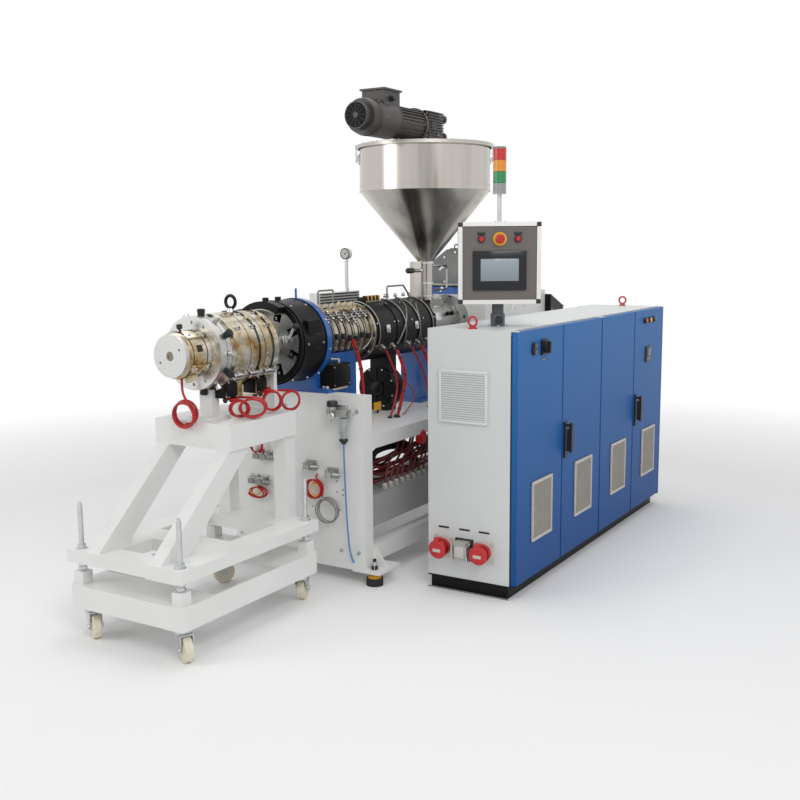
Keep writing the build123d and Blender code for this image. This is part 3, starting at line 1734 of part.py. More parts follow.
coil_centre = (front_lead_x, axis_y + front_lead_y, coil_z)
with BuildPart() as front_lead_tube:
    rod(
        upward(coil_centre[0], coil_centre[1], coil_z + coil_radius + coil_wire),
        front_lead_radius,
        axis_z - coil_z - coil_radius - coil_wire,
    )
    rod(
        across(die_front_x, axis_y, axis_z),
        small_heater_radius,
        flange_x - die_front_x,
        mode=Mode.SUBTRACT,
    )
front_lead_tube.part.label = "front_lead_tube"
export_step(front_lead_tube.part, "parts/front_lead_tube.step")

with BuildPart() as front_lead_coil:
    wire_ring(coil_centre, coil_radius, coil_wire)
front_lead_coil.part.label = "front_lead_coil"
export_step(front_lead_coil.part, "parts/front_lead_coil.step")
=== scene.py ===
"""Finishes, fittings, leads, stage and camera for the plastic extruder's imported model."""

import itertools
import json
import math
import random

import bmesh
import bpy
from mathutils import Matrix, Vector


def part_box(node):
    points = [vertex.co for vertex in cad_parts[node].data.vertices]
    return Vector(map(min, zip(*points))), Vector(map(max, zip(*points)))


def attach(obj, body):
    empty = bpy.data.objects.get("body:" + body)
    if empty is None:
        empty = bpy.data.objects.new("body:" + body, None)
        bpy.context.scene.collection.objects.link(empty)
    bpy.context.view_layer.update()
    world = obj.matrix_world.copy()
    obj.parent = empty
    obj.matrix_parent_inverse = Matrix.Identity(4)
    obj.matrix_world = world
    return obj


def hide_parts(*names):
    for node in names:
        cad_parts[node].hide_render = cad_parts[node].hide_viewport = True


bl_info = {
    "name": "Plastic extruder dressing",
    "version": (1, 0, 0),
    "blender": (4, 5, 0),
    "location": "View3D > Sidebar > Extruder",
    "description": "Adds finishes, fittings and leads to the extruder, its trolley and its cabinet",
    "category": "Object",
}

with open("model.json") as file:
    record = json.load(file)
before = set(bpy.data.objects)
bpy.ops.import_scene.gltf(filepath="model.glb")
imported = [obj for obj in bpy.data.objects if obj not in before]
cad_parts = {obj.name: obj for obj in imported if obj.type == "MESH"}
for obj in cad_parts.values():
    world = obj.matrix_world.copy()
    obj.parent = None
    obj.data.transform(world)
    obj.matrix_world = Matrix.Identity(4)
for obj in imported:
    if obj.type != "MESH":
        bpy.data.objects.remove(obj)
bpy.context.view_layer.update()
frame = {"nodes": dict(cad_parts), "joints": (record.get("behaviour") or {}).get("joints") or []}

# Lines of the machine that the pieces are placed from, in metres
DISC_LOW, DISC_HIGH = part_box("drive_flange")
AXIS_Y = (DISC_LOW.y + DISC_HIGH.y) / 2
AXIS_Z = (DISC_LOW.z + DISC_HIGH.z) / 2
CABINET_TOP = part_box("cabinet_top")[1].z
ROW = Matrix()

# The same lines in millimetres, as the pieces are set out
BARREL = 1105
BLOWER = 800
STIRRER = 2160
MOTOR = 1390
HOPPER = 510
DOOR_FACE = -731
DOOR_1, DOOR_2, DOOR_4 = -550, -49, 955
POLE = (-303, -518)

# Directions: along the line and back, away from the cabinet and towards it, up and down
ALONG, FRONT = (1, 0, 0), (-1, 0, 0)
FAR, NEAR = (0, 1, 0), (0, -1, 0)
UP, DOWN = (0, 0, 1), (0, 0, -1)

# Edges sharper than this stay crisp
CRISP_EDGE = math.radians(32)


def linear(code):
    """A colour from its sRGB hex code, as linear values with alpha."""
    values = [int(code[i : i + 2], 16) / 255 for i in (1, 3, 5)]
    return tuple(v / 12.92 if v <= 0.04045 else ((v + 0.055) / 1.055) ** 2.4 for v in values) + (1.0,)


def colour(name, description, code):
    """A colour setting with its default."""
    return bpy.props.FloatVectorProperty(
        name=name, description=description, subtype="COLOR", size=4, min=0, max=1, default=linear(code)
    )


def length(name, description, value):
    """A length setting in metres."""
    return bpy.props.FloatProperty(
        name=name, description=description, default=value, min=0, unit="LENGTH"
    )


class ExtruderColours(bpy.types.PropertyGroup):
    """Colours of the extruder's finishes."""

    white: colour("White enamel", "Trolley, base and feed column", "#e6e7e5")
    cabinet: colour("Cabinet grey", "Cabinet walls and top", "#d3d6d6")
    # The two door blues are painted light and shade: lighter at the top, darker at the foot
    door_top: colour("Door blue, top", "Doors near their tops", "#2a6cae")
    door_foot: colour("Door blue, foot", "Doors near their feet", "#0f4a8b")
    machine_blue: colour("Machine blue", "Ring plate, stands and motor base", "#1d5aa6")
    black: colour("Black coat", "Covers, blower and plinth", "#0c0c0d")
    casting: colour("Casting grey", "Gearcases, motors and trunk", "#8b8b8a")
    steel: colour("Steel", "Machined steel", "#cfcfcd")
    sheath: colour("Heater sheath", "Mica heater bands", "#cbc1ab")
    hopper: colour("Hopper steel", "Polished stainless sheet", "#bfbab3")
    lead: colour("Silicone lead", "Red heater leads", "#b2161c")
    socket: colour("Socket red", "Round sockets, stops and lifting eyes", "#c0141c")


class ExtruderSizes(bpy.types.PropertyGroup):
    """Sizes of the extruder's added pieces."""

    edge: length("Edge round", "Bevel on added plates and blocks", 0.0015)
    lead: length("Lead", "Diameter of a heater lead", 0.010)
    hose: length("Hose", "Diameter of a trunk hose", 0.018)


def colours():
    """The colours as set in this scene."""
    return bpy.context.scene.extruder_colours


def sizes():
    """The sizes as set in this scene."""
    return bpy.context.scene.extruder_sizes


# Materials


def add_node(tree, kind, inputs=None, stops=None, **settings):
    """Adds a node, sets it and links its inputs."""
    node = tree.nodes.new(kind)
    for name, value in settings.items():
        setattr(node, name, value)
    if stops:
        for place, value in stops[2:]:
            node.color_ramp.elements.new(place)
        for element, (place, value) in zip(node.color_ramp.elements, stops):
            element.position = place
            element.color = value
    for socket, value in (inputs or {}).items():
        if isinstance(value, bpy.types.NodeSocket):
            tree.links.new(value, node.inputs[socket])
        else:
            node.inputs[socket].default_value = value
    return node


def ramp(tree, value, *stops):
    """Colours that follow a value."""
    return add_node(tree, "ShaderNodeValToRGB", {"Fac": value}, stops=stops).outputs["Color"]


def mapped(tree, value, low, high, to_low=0.0, to_high=1.0):
    """A value carried from one range to another."""
    ranges = {"Value": value, "From Min": low, "From Max": high, "To Min": to_low, "To Max": to_high}
    return add_node(tree, "ShaderNodeMapRange", ranges).outputs["Result"]


def noise(tree, place, scale, detail=2.0, **inputs):
    """A cloud of values at a scale to the metre."""
    settings = {"Vector": place, "Scale": scale, "Detail": detail, **inputs}
    return add_node(tree, "ShaderNodeTexNoise", settings).outputs["Fac"]


def bumped(tree, shader, height, strength):
    """Relief that bends the light without changing the shape."""
    bump = add_node(
        tree, "ShaderNodeBump", {"Height": height, "Strength": strength, "Distance": 0.001}
    )
    tree.links.new(bump.outputs["Normal"], shader.inputs["Normal"])


def upright(tree, place):
    """The height of each point."""
    return add_node(tree, "ShaderNodeSeparateXYZ", {"Vector": place}).outputs["Z"]


def reckoned(tree, operation, *values):
    """One value worked out from others."""
    inputs = dict(enumerate(values))
    return add_node(tree, "ShaderNodeMath", inputs, operation=operation).outputs["Value"]


def either(tree, factor, first, second):
    """The first colour where the factor is 0, the second where it is 1."""
    inputs = {"Factor": factor, 6: first, 7: second}
    return add_node(tree, "ShaderNodeMix", inputs, data_type="RGBA").outputs[2]


def coloured(tree, shader, colour_socket):
    """Gives the shader its base colour."""
    tree.links.new(colour_socket, shader.inputs["Base Color"])


def shade(value, factor):
    """A colour made darker or lighter."""
    return tuple(min(1.0, v * factor) for v in value[:3]) + (1.0,)


def start_material(name, roughness, metallic=0.0, coat=0.0):
    """An empty material with its shader and the object's own coordinates."""
    material = bpy.data.materials.new(name)
    material.use_nodes = True
    tree = material.node_tree
    shader = tree.nodes["Principled BSDF"]
    shader.inputs["Roughness"].default_value = roughness
    shader.inputs["Metallic"].default_value = metallic
    shader.inputs["Coat Weight"].default_value = coat
    place = add_node(tree, "ShaderNodeTexCoord").outputs["Object"]
    return material, tree, shader, place


def wave_scale(spacing_mm):
    """The wave texture's scale for a spacing, since it runs 20 radians to the metre at 1."""
    return 2 * math.pi * 1000 / 20 / spacing_mm


def grained(tree, shader, place, grain_mm, depth):
    """A fine skin that breaks up the shine."""
    bumped(tree, shader, noise(tree, place, 1000 / grain_mm, 3.0), depth)


def painted(name, base, roughness, grain_mm, depth, cloud=0.05, cloud_mm=350, coat=0.0):
    """Paint or plastic: a slow change of tone over a fine skin."""
    material, tree, shader, place = start_material(name, roughness, coat=coat)
    clouds = noise(tree, place, 1000 / cloud_mm, 4.0)
    tone = ramp(tree, clouds, (0.3, shade(base, 1 - cloud)), (0.7, shade(base, 1 + cloud)))
    coloured(tree, shader, tone)
    grained(tree, shader, place, grain_mm, depth)
    return material


def finished(material):
    """The shader of a made material."""
    return material.node_tree.nodes["Principled BSDF"]


def metal(name, base, roughness, stretch=(1, 1, 1), streak_mm=6.0, depth=0.04, tarnish=0.25):
    """Bare or plated metal: streaks or clouds in its tone and shine."""
    material, tree, shader, place = start_material(name, roughness, metallic=1.0)
    scaled = add_node(tree, "ShaderNodeMapping", {"Vector": place, "Scale": stretch})
    streaks = noise(tree, scaled.outputs["Vector"], 1000 / streak_mm, 5.0)
    coloured(tree, shader, ramp(tree, streaks, (0.32, shade(base, 1 - tarnish)), (0.62, base)))
    shine = mapped(tree, streaks, 0.0, 1.0, roughness * 1.35, roughness * 0.75)
    tree.links.new(shine, shader.inputs["Roughness"])
    bumped(tree, shader, streaks, depth)
    return material


def white_sprayed_enamel(name):
    # Sprayed enamel on welded steel: bright and clean, its soft shine broken by orange peel
    return painted(name, colours().white, 0.32, 5.0, 0.10, cloud=0.025)


def grey_powder_coat(name):
    # Light grey powder coat on folded sheet: an even satin with a fine pebbled skin
    return painted(name, colours().cabinet, 0.42, 2.5, 0.12, cloud=0.02)


def blue_powder_coat(name):
    # Powder-coated door: satin blue, painted lighter near the top, where it faces the lamps, and darker
    # at the foot, as painted light and shade
    material, tree, shader, place = start_material(name, 0.46)
    # A matted coat takes up little of the pale room
    shader.inputs["Specular IOR Level"].default_value = 0.2
    rise = mapped(tree, upright(tree, place), 0.05, CABINET_TOP)
    # Painted light: the blue runs from the darker foot colour up to the lighter top colour
    coloured(tree, shader, ramp(tree, rise, (0.0, colours().door_foot), (1.0, colours().door_top)))
    grained(tree, shader, place, 2.5, 0.10)
    return material


def blue_enamel(name):
    # Brushed machine enamel on castings and plate: strong blue with a wet, wavy shine
    return painted(name, colours().machine_blue, 0.28, 9.0, 0.18, cloud=0.10, coat=0.3)


def black_powder_coat(name):
    # Black powder coat on rolled sheet: nearly even, with a broad dull highlight
    material = painted(name, colours().black, 0.42, 2.0, 0.15, cloud=0.15)
    finished(material).inputs["Specular IOR Level"].default_value = 0.2
    return material


def machined_steel(name):
    # Turned steel: faint rings about the barrel's axis that draw its highlight into a fan
    material, tree, shader, place = start_material(name, 0.3, metallic=1.0)
    centred = add_node(tree, "ShaderNodeMapping", {"Vector": place, "Location": (0, -AXIS_Y, -AXIS_Z)})
    rings = add_node(
        tree,
        "ShaderNodeTexWave",
        # Cutter marks every 19 mm, far coarser than the real ones so that they show
        {
            "Vector": centred.outputs["Vector"], "Scale": wave_scale(18.85), "Distortion": 1.0,
            "Detail": 2.0,
        },
        wave_type="RINGS",
        rings_direction="X",
    )
    steel = colours().steel
    coloured(tree, shader, ramp(tree, rings.outputs["Fac"], (0.0, shade(steel, 0.95)), (1.0, steel)))
    grained(tree, shader, place, 1.5, 0.04)
    return material


def heater_sheath(name):
    # Steel-clad mica band, straw-coloured from heat, with brown patches; the ring on top is blackened
    material, tree, shader, place = start_material(name, 0.24, metallic=1.0)
    above = reckoned(tree, "GREATER_THAN", upright(tree, place), 1.268)
    heat = noise(tree, place, 1000 / 90, 5.0, Roughness=0.6)
    tone = ramp(
        tree, heat, (0.33, linear("#8a5f35")), (0.42, linear("#b59a6c")), (0.52, colours().sheath),
        (0.70, linear("#dedbd3")),
    )
    coloured(tree, shader, either(tree, above, tone, linear("#2a2a2b")))
    tree.links.new(mapped(tree, heat, 0.0, 1.0, 0.42, 0.12), shader.inputs["Roughness"])
    grained(tree, shader, place, 14.0, 0.25)
    return material


def dull_band_steel(name):
    # Barrel bands: plated steel gone beige and grey with heat, streaked round the barrel
    return metal(
        name, linear("#bdb5a5"), 0.3, stretch=(1, 0.4, 0.4), streak_mm=22.0, depth=0.08, tarnish=0.5
    )


def zinc_plate(name):
    # Bright zinc plating: silver with small clouds of dullness
    return metal(name, linear("#cfd1d3"), 0.3, streak_mm=28.0, depth=0.012, tarnish=0.12)


def dull_cast_steel(name):
    # Milled steel blocks: mid grey with short streaks
    return metal(name, linear("#b4b4b1"), 0.38, stretch=(0.2, 1, 1), streak_mm=6.0, depth=0.02)


def brushed_stainless(name):
    # Brushed lid sheet: pale, with long fine lines that soften what it reflects
    return metal(
        name, colours().hopper, 0.34, stretch=(0.05, 1, 1), streak_mm=4.0, depth=0.02, tarnish=0.10
    )


def scorched_bronze(name):
    # Bronze bush at the die's mouth, browned by heat
    return metal(name, linear("#8d8478"), 0.4, streak_mm=4.0, tarnish=0.4)


def polished_stainless(name):
    # Rolled stainless sheet: long upright dark streaks painted into its colour, painted reflections of
    # the room that follow round the drum
    material, tree, shader, place = start_material(name, 0.2, metallic=1.0)
    scaled = add_node(tree, "ShaderNodeMapping", {"Vector": place, "Scale": (1, 1, 0.03)})
    drawn = scaled.outputs["Vector"]
    sheet = colours().hopper
    broad = noise(tree, drawn, 7.0, 3.0)
    # Painted reflections: broad upright bands that darken the sheet down to half its colour
    tone = ramp(tree, broad, (0.34, shade(sheet, 0.50)), (0.47, shade(sheet, 0.85)), (0.60, sheet))
    coloured(tree, shader, tone)
    bumped(tree, shader, noise(tree, drawn, 260.0), 0.06)
    return material


def grey_painted_casting(name):
    # Grey paint over sand-cast iron: dull, with the mould's grain under it
    return painted(name, colours().casting, 0.5, 3.5, 0.35, cloud=0.08, cloud_mm=120)


def dark_painted_casting(name):
    # Dark warm paint on the stirrer's motor and gearcase: dull, oily in places
    return painted(name, linear("#3d3a38"), 0.42, 3.5, 0.30, cloud=0.14, cloud_mm=60)


def slate_paint(name):
    # Blue-grey paint on the panel's collar and pole
    return painted(name, linear("#565d63"), 0.4, 3.0, 0.12, cloud=0.04)


def grey_trunk_coat(name):
    # Mid-grey coat on the folded cable trunk, dusty along its length
    return painted(name, linear("#9fa09f"), 0.5, 3.0, 0.12, cloud=0.07, cloud_mm=200)


def annealed_tube(name):
    # Annealed stainless tube: grey, dulled by handling
    return metal(name, linear("#8f8d88"), 0.36, stretch=(1, 1, 0.2), streak_mm=5.0, tarnish=0.3)


def anodised_aluminium(name):
    # Extruded and anodised frame: pale satin metal with fine lines along it
    return metal(name, linear("#d9d9d6"), 0.34, stretch=(1, 1, 0.1), streak_mm=2.0, tarnish=0.08)


def warm_grey_foil(name):
    # Printed front foil of the panel: flat warm grey with hardly any shine
    return painted(name, linear("#6b6663"), 0.55, 1.5, 0.06, cloud=0.02)


def black_moulded_nylon(name):
    # Moulded glass-filled nylon: black with a faint spark-eroded skin
    return painted(name, linear("#17171a"), 0.45, 1.2, 0.15, cloud=0.08, cloud_mm=60)


def dark_gloss_acrylic(name):
    # Glossy bezel and meter window: almost black, with a sharp reflection
    material = painted(name, linear("#16181c"), 0.16, 30.0, 0.02, cloud=0.04, coat=0.1)
    finished(material).inputs["Specular IOR Level"].default_value = 0.35
    return material


def screen_glass(name):
    # Lit but blank screen: slate blue behind smooth glass, slightly brighter towards the top
    material, tree, shader, place = start_material(name, 0.1, coat=0.6)
    rise = mapped(tree, upright(tree, place), 1.36, 1.47)
    coloured(tree, shader, ramp(tree, rise, (0.0, linear("#7d8a93")), (1.0, linear("#9aa7ae"))))
    return material


def lamp_lenses(name):
    # Ribbed polycarbonate lenses over a grey base: green, amber and red, from the foot up
    material, tree, shader, place = start_material(name, 0.25, coat=0.4)
    low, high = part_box("signal_lamp")
    span = high.z - low.z
    rise = mapped(tree, upright(tree, place), low.z, high.z)
    steps = [
        (0.0, "#dfe0de"),
        (0.127 / span, "#9a9b98"),
        (0.174 / span, "#1f8a4c"),
        (0.223 / span, "#e79326"),
        (0.272 / span, "#c8201f"),
        (0.321 / span, "#b5b2ad"),
    ]
    tone = ramp(tree, rise, *((share, linear(code)) for share, code in steps))
    tone.node.color_ramp.interpolation = "CONSTANT"
    ribs = add_node(
        tree,
        "ShaderNodeTexWave",
        # Ribs every 25 mm up the lenses, coarser than the real ones so that they show
        {"Vector": place, "Scale": wave_scale(25.13)},
        wave_type="BANDS",
        bands_direction="Z",
    )
    coloured(tree, shader, tone)
    bumped(tree, shader, ribs.outputs["Fac"], 0.3)
    return material


def red_moulded_plastic(name):
    # Moulded polyamide of sockets and stop buttons: deep red with a soft gloss
    return painted(name, colours().socket, 0.3, 2.0, 0.06, cloud=0.06, cloud_mm=50, coat=0.2)


def socket_set_plastics(name):
    # Sockets, connector and side grille in one node: red and grey mouldings low down, pale grille above
    material, tree, shader, place = start_material(name, 0.32, coat=0.15)
    spot = add_node(tree, "ShaderNodeSeparateXYZ", {"Vector": place})
    low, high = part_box("plug_sockets")
    above = reckoned(tree, "GREATER_THAN", spot.outputs["Z"], 0.5)
    across = reckoned(tree, "ADD", spot.outputs["Y"], -(low.y + high.y) / 2)
    inner = reckoned(tree, "LESS_THAN", reckoned(tree, "ABSOLUTE", across), 0.05)
    lower = either(tree, inner, colours().socket, linear("#a9a8a2"))
    coloured(tree, shader, either(tree, above, lower, linear("#d9d9d4")))
    grained(tree, shader, place, 1.5, 0.08)
    return material


def red_enamel(name):
    # Enamelled lifting eyes: glossy red
    return painted(name, shade(colours().socket, 0.9), 0.25, 4.0, 0.08, coat=0.4)


def cream_cast_nylon(name):
    # Cast nylon wheels: cream, with scuffs that darken the tread
    return painted(name, linear("#dfd8c3"), 0.42, 5.0, 0.20, cloud=0.10, cloud_mm=25)


def black_rubber(name):
    # Moulded rubber: deep black and dull; on screw heads it is also painted shade for their sockets
    return painted(name, linear("#161616"), 0.7, 1.5, 0.2, cloud=0.15, cloud_mm=30)


def yellow_moulded_plastic(name):
    # Yellow caps and rings: bright satin plastic
    return painted(name, linear("#efae1c"), 0.35, 2.0, 0.06, cloud=0.06, cloud_mm=40)


def blue_dark_plastic(name):
    # Dark blue button cap
    return painted(name, linear("#1c2c55"), 0.3, 2.0, 0.05, cloud=0.05)


def pale_glass_fibre(name):
    # White-grey moulded bases, glands and tags: matt and slightly warm
    return painted(name, linear("#c6c3bb"), 0.5, 1.5, 0.12, cloud=0.06, cloud_mm=40)


def white_moulded_grille(name):
    # White moulded filter grille on the cabinet's side
    return painted(name, linear("#dcdedd"), 0.4, 1.5, 0.06, cloud=0.02, cloud_mm=40)


def warm_grille(name):
    # Warm grey moulded slats of the door grilles
    return painted(name, linear("#a8a299"), 0.5, 1.5, 0.12, cloud=0.05, cloud_mm=40)


def shaded_grille(name):
    # Filter mat behind the slats: fibrous and dull, coloured darker as painted shade in the gaps
    # between the slats
    return painted(name, linear("#8d8a84"), 0.8, 2.0, 0.4, cloud=0.12, cloud_mm=12)


def pale_filter_mat(name):
    # Filter mat behind the side grille: light, fibrous and dull
    return painted(name, linear("#b9bdc0"), 0.8, 2.0, 0.3, cloud=0.06, cloud_mm=12)


def beige_ceramic(name):
    # Steatite terminal blocks: chalky beige
    return painted(name, linear("#cdbfa3"), 0.6, 1.2, 0.15, cloud=0.10, cloud_mm=20)


def red_silicone_lead(name):
    # Silicone-rubber sleeve: saturated red with a soft sheen and dusty streaks
    return painted(name, colours().lead, 0.42, 3.0, 0.12, cloud=0.16, cloud_mm=45)


def dark_red_hose(name):
    # Silicone sleeves lying in the base under the deck: a darker red than the leads, in uneven clouds
    return painted(name, linear("#6d2422"), 0.5, 3.0, 0.15, cloud=0.25, cloud_mm=60)


def blue_air_hose(name):
    # Polyurethane air hose: clear mid blue, slightly glossy
    return painted(name, linear("#4f86bd"), 0.3, 5.0, 0.04, cloud=0.06)


def grey_sensor_lead(name):
    # Braided sensor lead: grey with a fine weave
    return painted(name, linear("#8b8783"), 0.45, 1.0, 0.3, cloud=0.12, cloud_mm=20)


def sensor_housing_alloy(name):
    # Die-cast connector housings: light grey alloy with a sandy skin
    return metal(name, linear("#a9aaa8"), 0.46, streak_mm=3.0, depth=0.06, tarnish=0.2)


def clear_bowl(name):
    # Polycarbonate filter bowl: smoky grey with a bright edge
    return painted(name, linear("#9ea3a3"), 0.15, 20.0, 0.03, cloud=0.15, cloud_mm=30, coat=0.5)


def finish(make):
    """The material that a maker function gives, made once."""
    return bpy.data.materials.get(make.__name__) or make(make.__name__)


# Shapes


def mm(x, y, z):
    """A point from millimetres along the line, from the barrel's axis, and above the floor."""
    return Vector((x / 1000, AXIS_Y + y / 1000, z / 1000))


def on_axis(x):
    """A point on the barrel's axis."""
    return mm(x, 0, BARREL)


def off_centre(x, y, radius, angle):
    """Two numbers moved off by a radius at degrees from the first towards the second."""
    turn = math.radians(angle)
    return x + radius * math.cos(turn), y + radius * math.sin(turn)


def spot_at(x, y, z):
    """A point from millimetres in the row's own frame, as the cabinet is set out."""
    return Vector((x / 1000, y / 1000, z / 1000))


def paint_faces(faces, mat):
    """Gives faces the material at an index."""
    for face in faces:
        face.material_index = mat


def block(bm, x, y, z, mat=0, edge=None, turn=None):
    """A plate or box with eased edges from its spans in millimetres, in the line's or another frame."""
    place = turn or Matrix.Translation((0, AXIS_Y, 0))
    middle = Vector(((x[0] + x[1]) / 2000, (y[0] + y[1]) / 2000, (z[0] + z[1]) / 2000))
    size = Vector((abs(x[1] - x[0]) / 1000, abs(y[1] - y[0]) / 1000, abs(z[1] - z[0]) / 1000))
    matrix = place @ Matrix.Translation(middle) @ Matrix.Diagonal((*size, 1))
    made = bmesh.ops.create_cube(bm, size=1.0, matrix=matrix)["verts"]
    paint_faces({face for vert in made for face in vert.link_faces}, mat)
    edges = list({e for vert in made for e in vert.link_edges})
    offset = min(sizes().edge if edge is None else edge, min(size) * 0.3)
    if offset > 0:
        bmesh.ops.bevel(
            bm, geom=edges, offset=offset, segments=2, profile=0.5, affect="EDGES", material=-1
        )


def row_block(bm, x, y, z, mat=0, edge=None):
    """A block set out in the row's own frame, as the cabinet is."""
    block(bm, x, y, z, mat, edge, turn=ROW)


def bar(bm, start, end, radius, tip=None, segments=20, mat=0):
    """A round, tapered or faceted bar between two points, its radii in millimetres."""
    start, end = Vector(start), Vector(end)
    along = end - start
    place = Matrix.Translation((start + end) / 2) @ along.to_track_quat("Z", "Y").to_matrix().to_4x4()
    tip = radius if tip is None else tip
    made = bmesh.ops.create_cone(
        bm,
        cap_ends=True,
        segments=segments,
        radius1=radius / 1000,
        radius2=tip / 1000,
        depth=along.length,
        matrix=place,
    )["verts"]
    paint_faces({face for vert in made for face in vert.link_faces}, mat)


def screw(bm, seat, out, radius, height, mat=0, recess=None):
    """A screw head on its seat: hexagonal, or round with its socket as a slightly proud disc of another
    material; where that disc is black it is painted shade for the hollow socket.
    """
    seat, out = Vector(seat), Vector(out).normalized()
    top = seat + out * height / 1000
    if recess is None:
        bar(bm, seat, top, radius, radius * 0.96, segments=6, mat=mat)
        bar(bm, top, top + out * 0.0015, radius * 0.55, segments=12, mat=mat)
    else:
        bar(bm, seat, top, radius, radius * 0.92, segments=16, mat=mat)
        # The socket is a thin disc, not a hollow; in black it is painted shade for the hole
        bar(bm, top - out * 0.001, top + out * 0.0004, radius * 0.5, segments=6, mat=recess)


def ring(bm, centre, axis, radius, wire, segments=40, sides=8, mat=0, sweep=None, start=UP):
    """A wire ring, or part of one in degrees, about an axis."""
    centre, axis = Vector(centre), Vector(axis).normalized()
    out = Vector(start) - axis * Vector(start).dot(axis)
    out.normalize()
    side = axis.cross(out)
    turn = Matrix((out, -axis, side)).transposed().to_4x4() @ Matrix.Rotation(math.pi / 2, 4, "X")
    place = Matrix.Translation(centre + out * radius / 1000) @ turn
    made = bmesh.ops.create_circle(
        bm, cap_ends=sweep is not None, radius=wire / 1000, segments=sides, matrix=place
    )["verts"]
    edges = list({e for vert in made for e in vert.link_edges})
    faces = list({f for vert in made for f in vert.link_faces})
    before = set(bm.faces) - set(faces)
    bmesh.ops.spin(
        bm,
        geom=faces or edges,
        cent=centre,
        axis=axis,
        angle=2 * math.pi if sweep is None else math.radians(sweep),
        steps=segments,
        use_merge=sweep is None,
    )
    paint_faces(set(bm.faces) - before, mat)


def turned(bm, base, axis, profile, segments=32, mat=0):
    """A turned piece from (radius, height) points in millimetres that start and end on its axis."""
    base, axis = Vector(base), Vector(axis).normalized()
    out = axis.orthogonal().normalized()
    before = set(bm.faces)
    verts = [
        bm.verts.new(base + out * radius / 1000 + axis * height / 1000) for radius, height in profile
    ]
    edges = [bm.edges.new(pair) for pair in zip(verts, verts[1:])]
    bmesh.ops.spin(
        bm, geom=edges, cent=base, axis=axis, angle=2 * math.pi, steps=segments, use_merge=True
    )
    made = set(bm.faces) - before
    points = list({v for f in made for v in f.verts})
    bmesh.ops.remove_doubles(bm, verts=points, dist=0.00001)
    paint_faces(set(bm.faces) - before, mat)


def border(outer, inner, rise, top):
    """Spans across and up of a frame's two sides, its foot and its head."""
    sides = (-outer, -inner, -rise, rise), (inner, outer, -rise, rise)
    return *sides, (-outer, outer, -top, -rise), (-outer, outer, rise, top)


def around(x, angle, radius, centre_z=None):
    """A point about the barrel's axis, in millimetres, at degrees from the top towards the cabinet."""
    turn = math.radians(angle)
    centre_z = AXIS_Z * 1000 if centre_z is None else centre_z
    return mm(x, -radius * math.sin(turn), centre_z + radius * math.cos(turn))


def outward(angle):
    """The direction away from the barrel's axis at degrees from the top towards the cabinet."""
    return Vector((0, -math.sin(math.radians(angle)), math.cos(math.radians(angle))))


def seated(angle, centre_z=None):
    """A frame about the barrel's axis whose height runs outwards at degrees from the top."""
    centre_z = AXIS_Z if centre_z is None else centre_z / 1000
    return Matrix.Translation((0, AXIS_Y, centre_z)) @ Matrix.Rotation(math.radians(angle), 4, "X")


def stud(bm, x, angle, inner, outer, radius, tip=None, segments=20, mat=0):
    """A bar that stands out from the barrel's axis between two distances in millimetres."""
    bar(bm, around(x, angle, inner), around(x, angle, outer), radius, tip, segments, mat)


def pinch_screw(bm, turn, x, y, height, radius, head, share, mat=0):
    """A screw across a split lug, its head and nut each a share of its length."""
    start, end = (turn @ Vector((x / 1000, side / 1000, height / 1000)) for side in y)
    bar(bm, start, end, radius, segments=12, mat=mat)
    for tip in (start, end):
        bar(bm, tip, tip + (start + end - 2 * tip) * share, head, segments=6, mat=mat)


def hoop(bm, x, radius, wire, segments, mat=0, height=BARREL):
    """A six-sided wire ring about the barrel's axis, or about a level line below or above it."""
    ring(bm, mm(x, 0, height), ALONG, radius, wire, segments=segments, sides=6, mat=mat)


def screws(bm, xs, ys, zs, out, radius, height, mat=0, recess=None):
    """Like screws at each place that three rows of millimetres give."""
    for x, y, z in itertools.product(xs, ys, zs):
        screw(bm, mm(x, y, z), out, radius, height, mat, recess)


def screw_circle(bm, x, angles, reach, radius, height, mat=0, recess=None, out=None, centre_z=None):
    """Like screws about the barrel's axis, which point outwards or in one direction."""
    for angle in angles:
        seat = around(x, angle, reach, centre_z=centre_z)
        screw(bm, seat, out or outward(angle), radius, height, mat, recess)


def new_piece(name, bm, makes, body="root", replaces=()):
    """Turns a bmesh into a piece that rides on a body."""
    bmesh.ops.recalc_face_normals(bm, faces=bm.faces)
    for face in bm.faces:
        face.smooth = True
    for e in bm.edges:
        if e.is_manifold and e.calc_face_angle(0) > CRISP_EDGE:
            e.smooth = False
    mesh = bpy.data.meshes.new(name)
    bm.to_mesh(mesh)
    bm.free()
    for make in makes:
        mesh.materials.append(finish(make))
    piece = bpy.data.objects.new(name, mesh)
    bpy.context.scene.collection.objects.link(piece)
    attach(piece, body)
    if replaces:
        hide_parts(*replaces)
    return piece


def soft_lines(name, routes, radius, make, body="root"):
    """Round hoses or leads, one smooth line for each route of points in millimetres."""
    curve = bpy.data.curves.new(name, "CURVE")
    curve.dimensions = "3D"
    curve.bevel_depth = radius
    curve.bevel_resolution = 2
    curve.resolution_u = 6
    curve.use_fill_caps = True
    for route in routes:
        spline = curve.splines.new("NURBS")
        spline.points.add(len(route) - 1)
        for point, place in zip(spline.points, route):
            point.co = (*mm(*place), 1)
        spline.order_u = 3
        spline.use_endpoint_u = True
    curve.materials.append(finish(make))
    piece = bpy.data.objects.new(name, curve)
    bpy.context.scene.collection.objects.link(piece)
    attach(piece, body)
    return piece


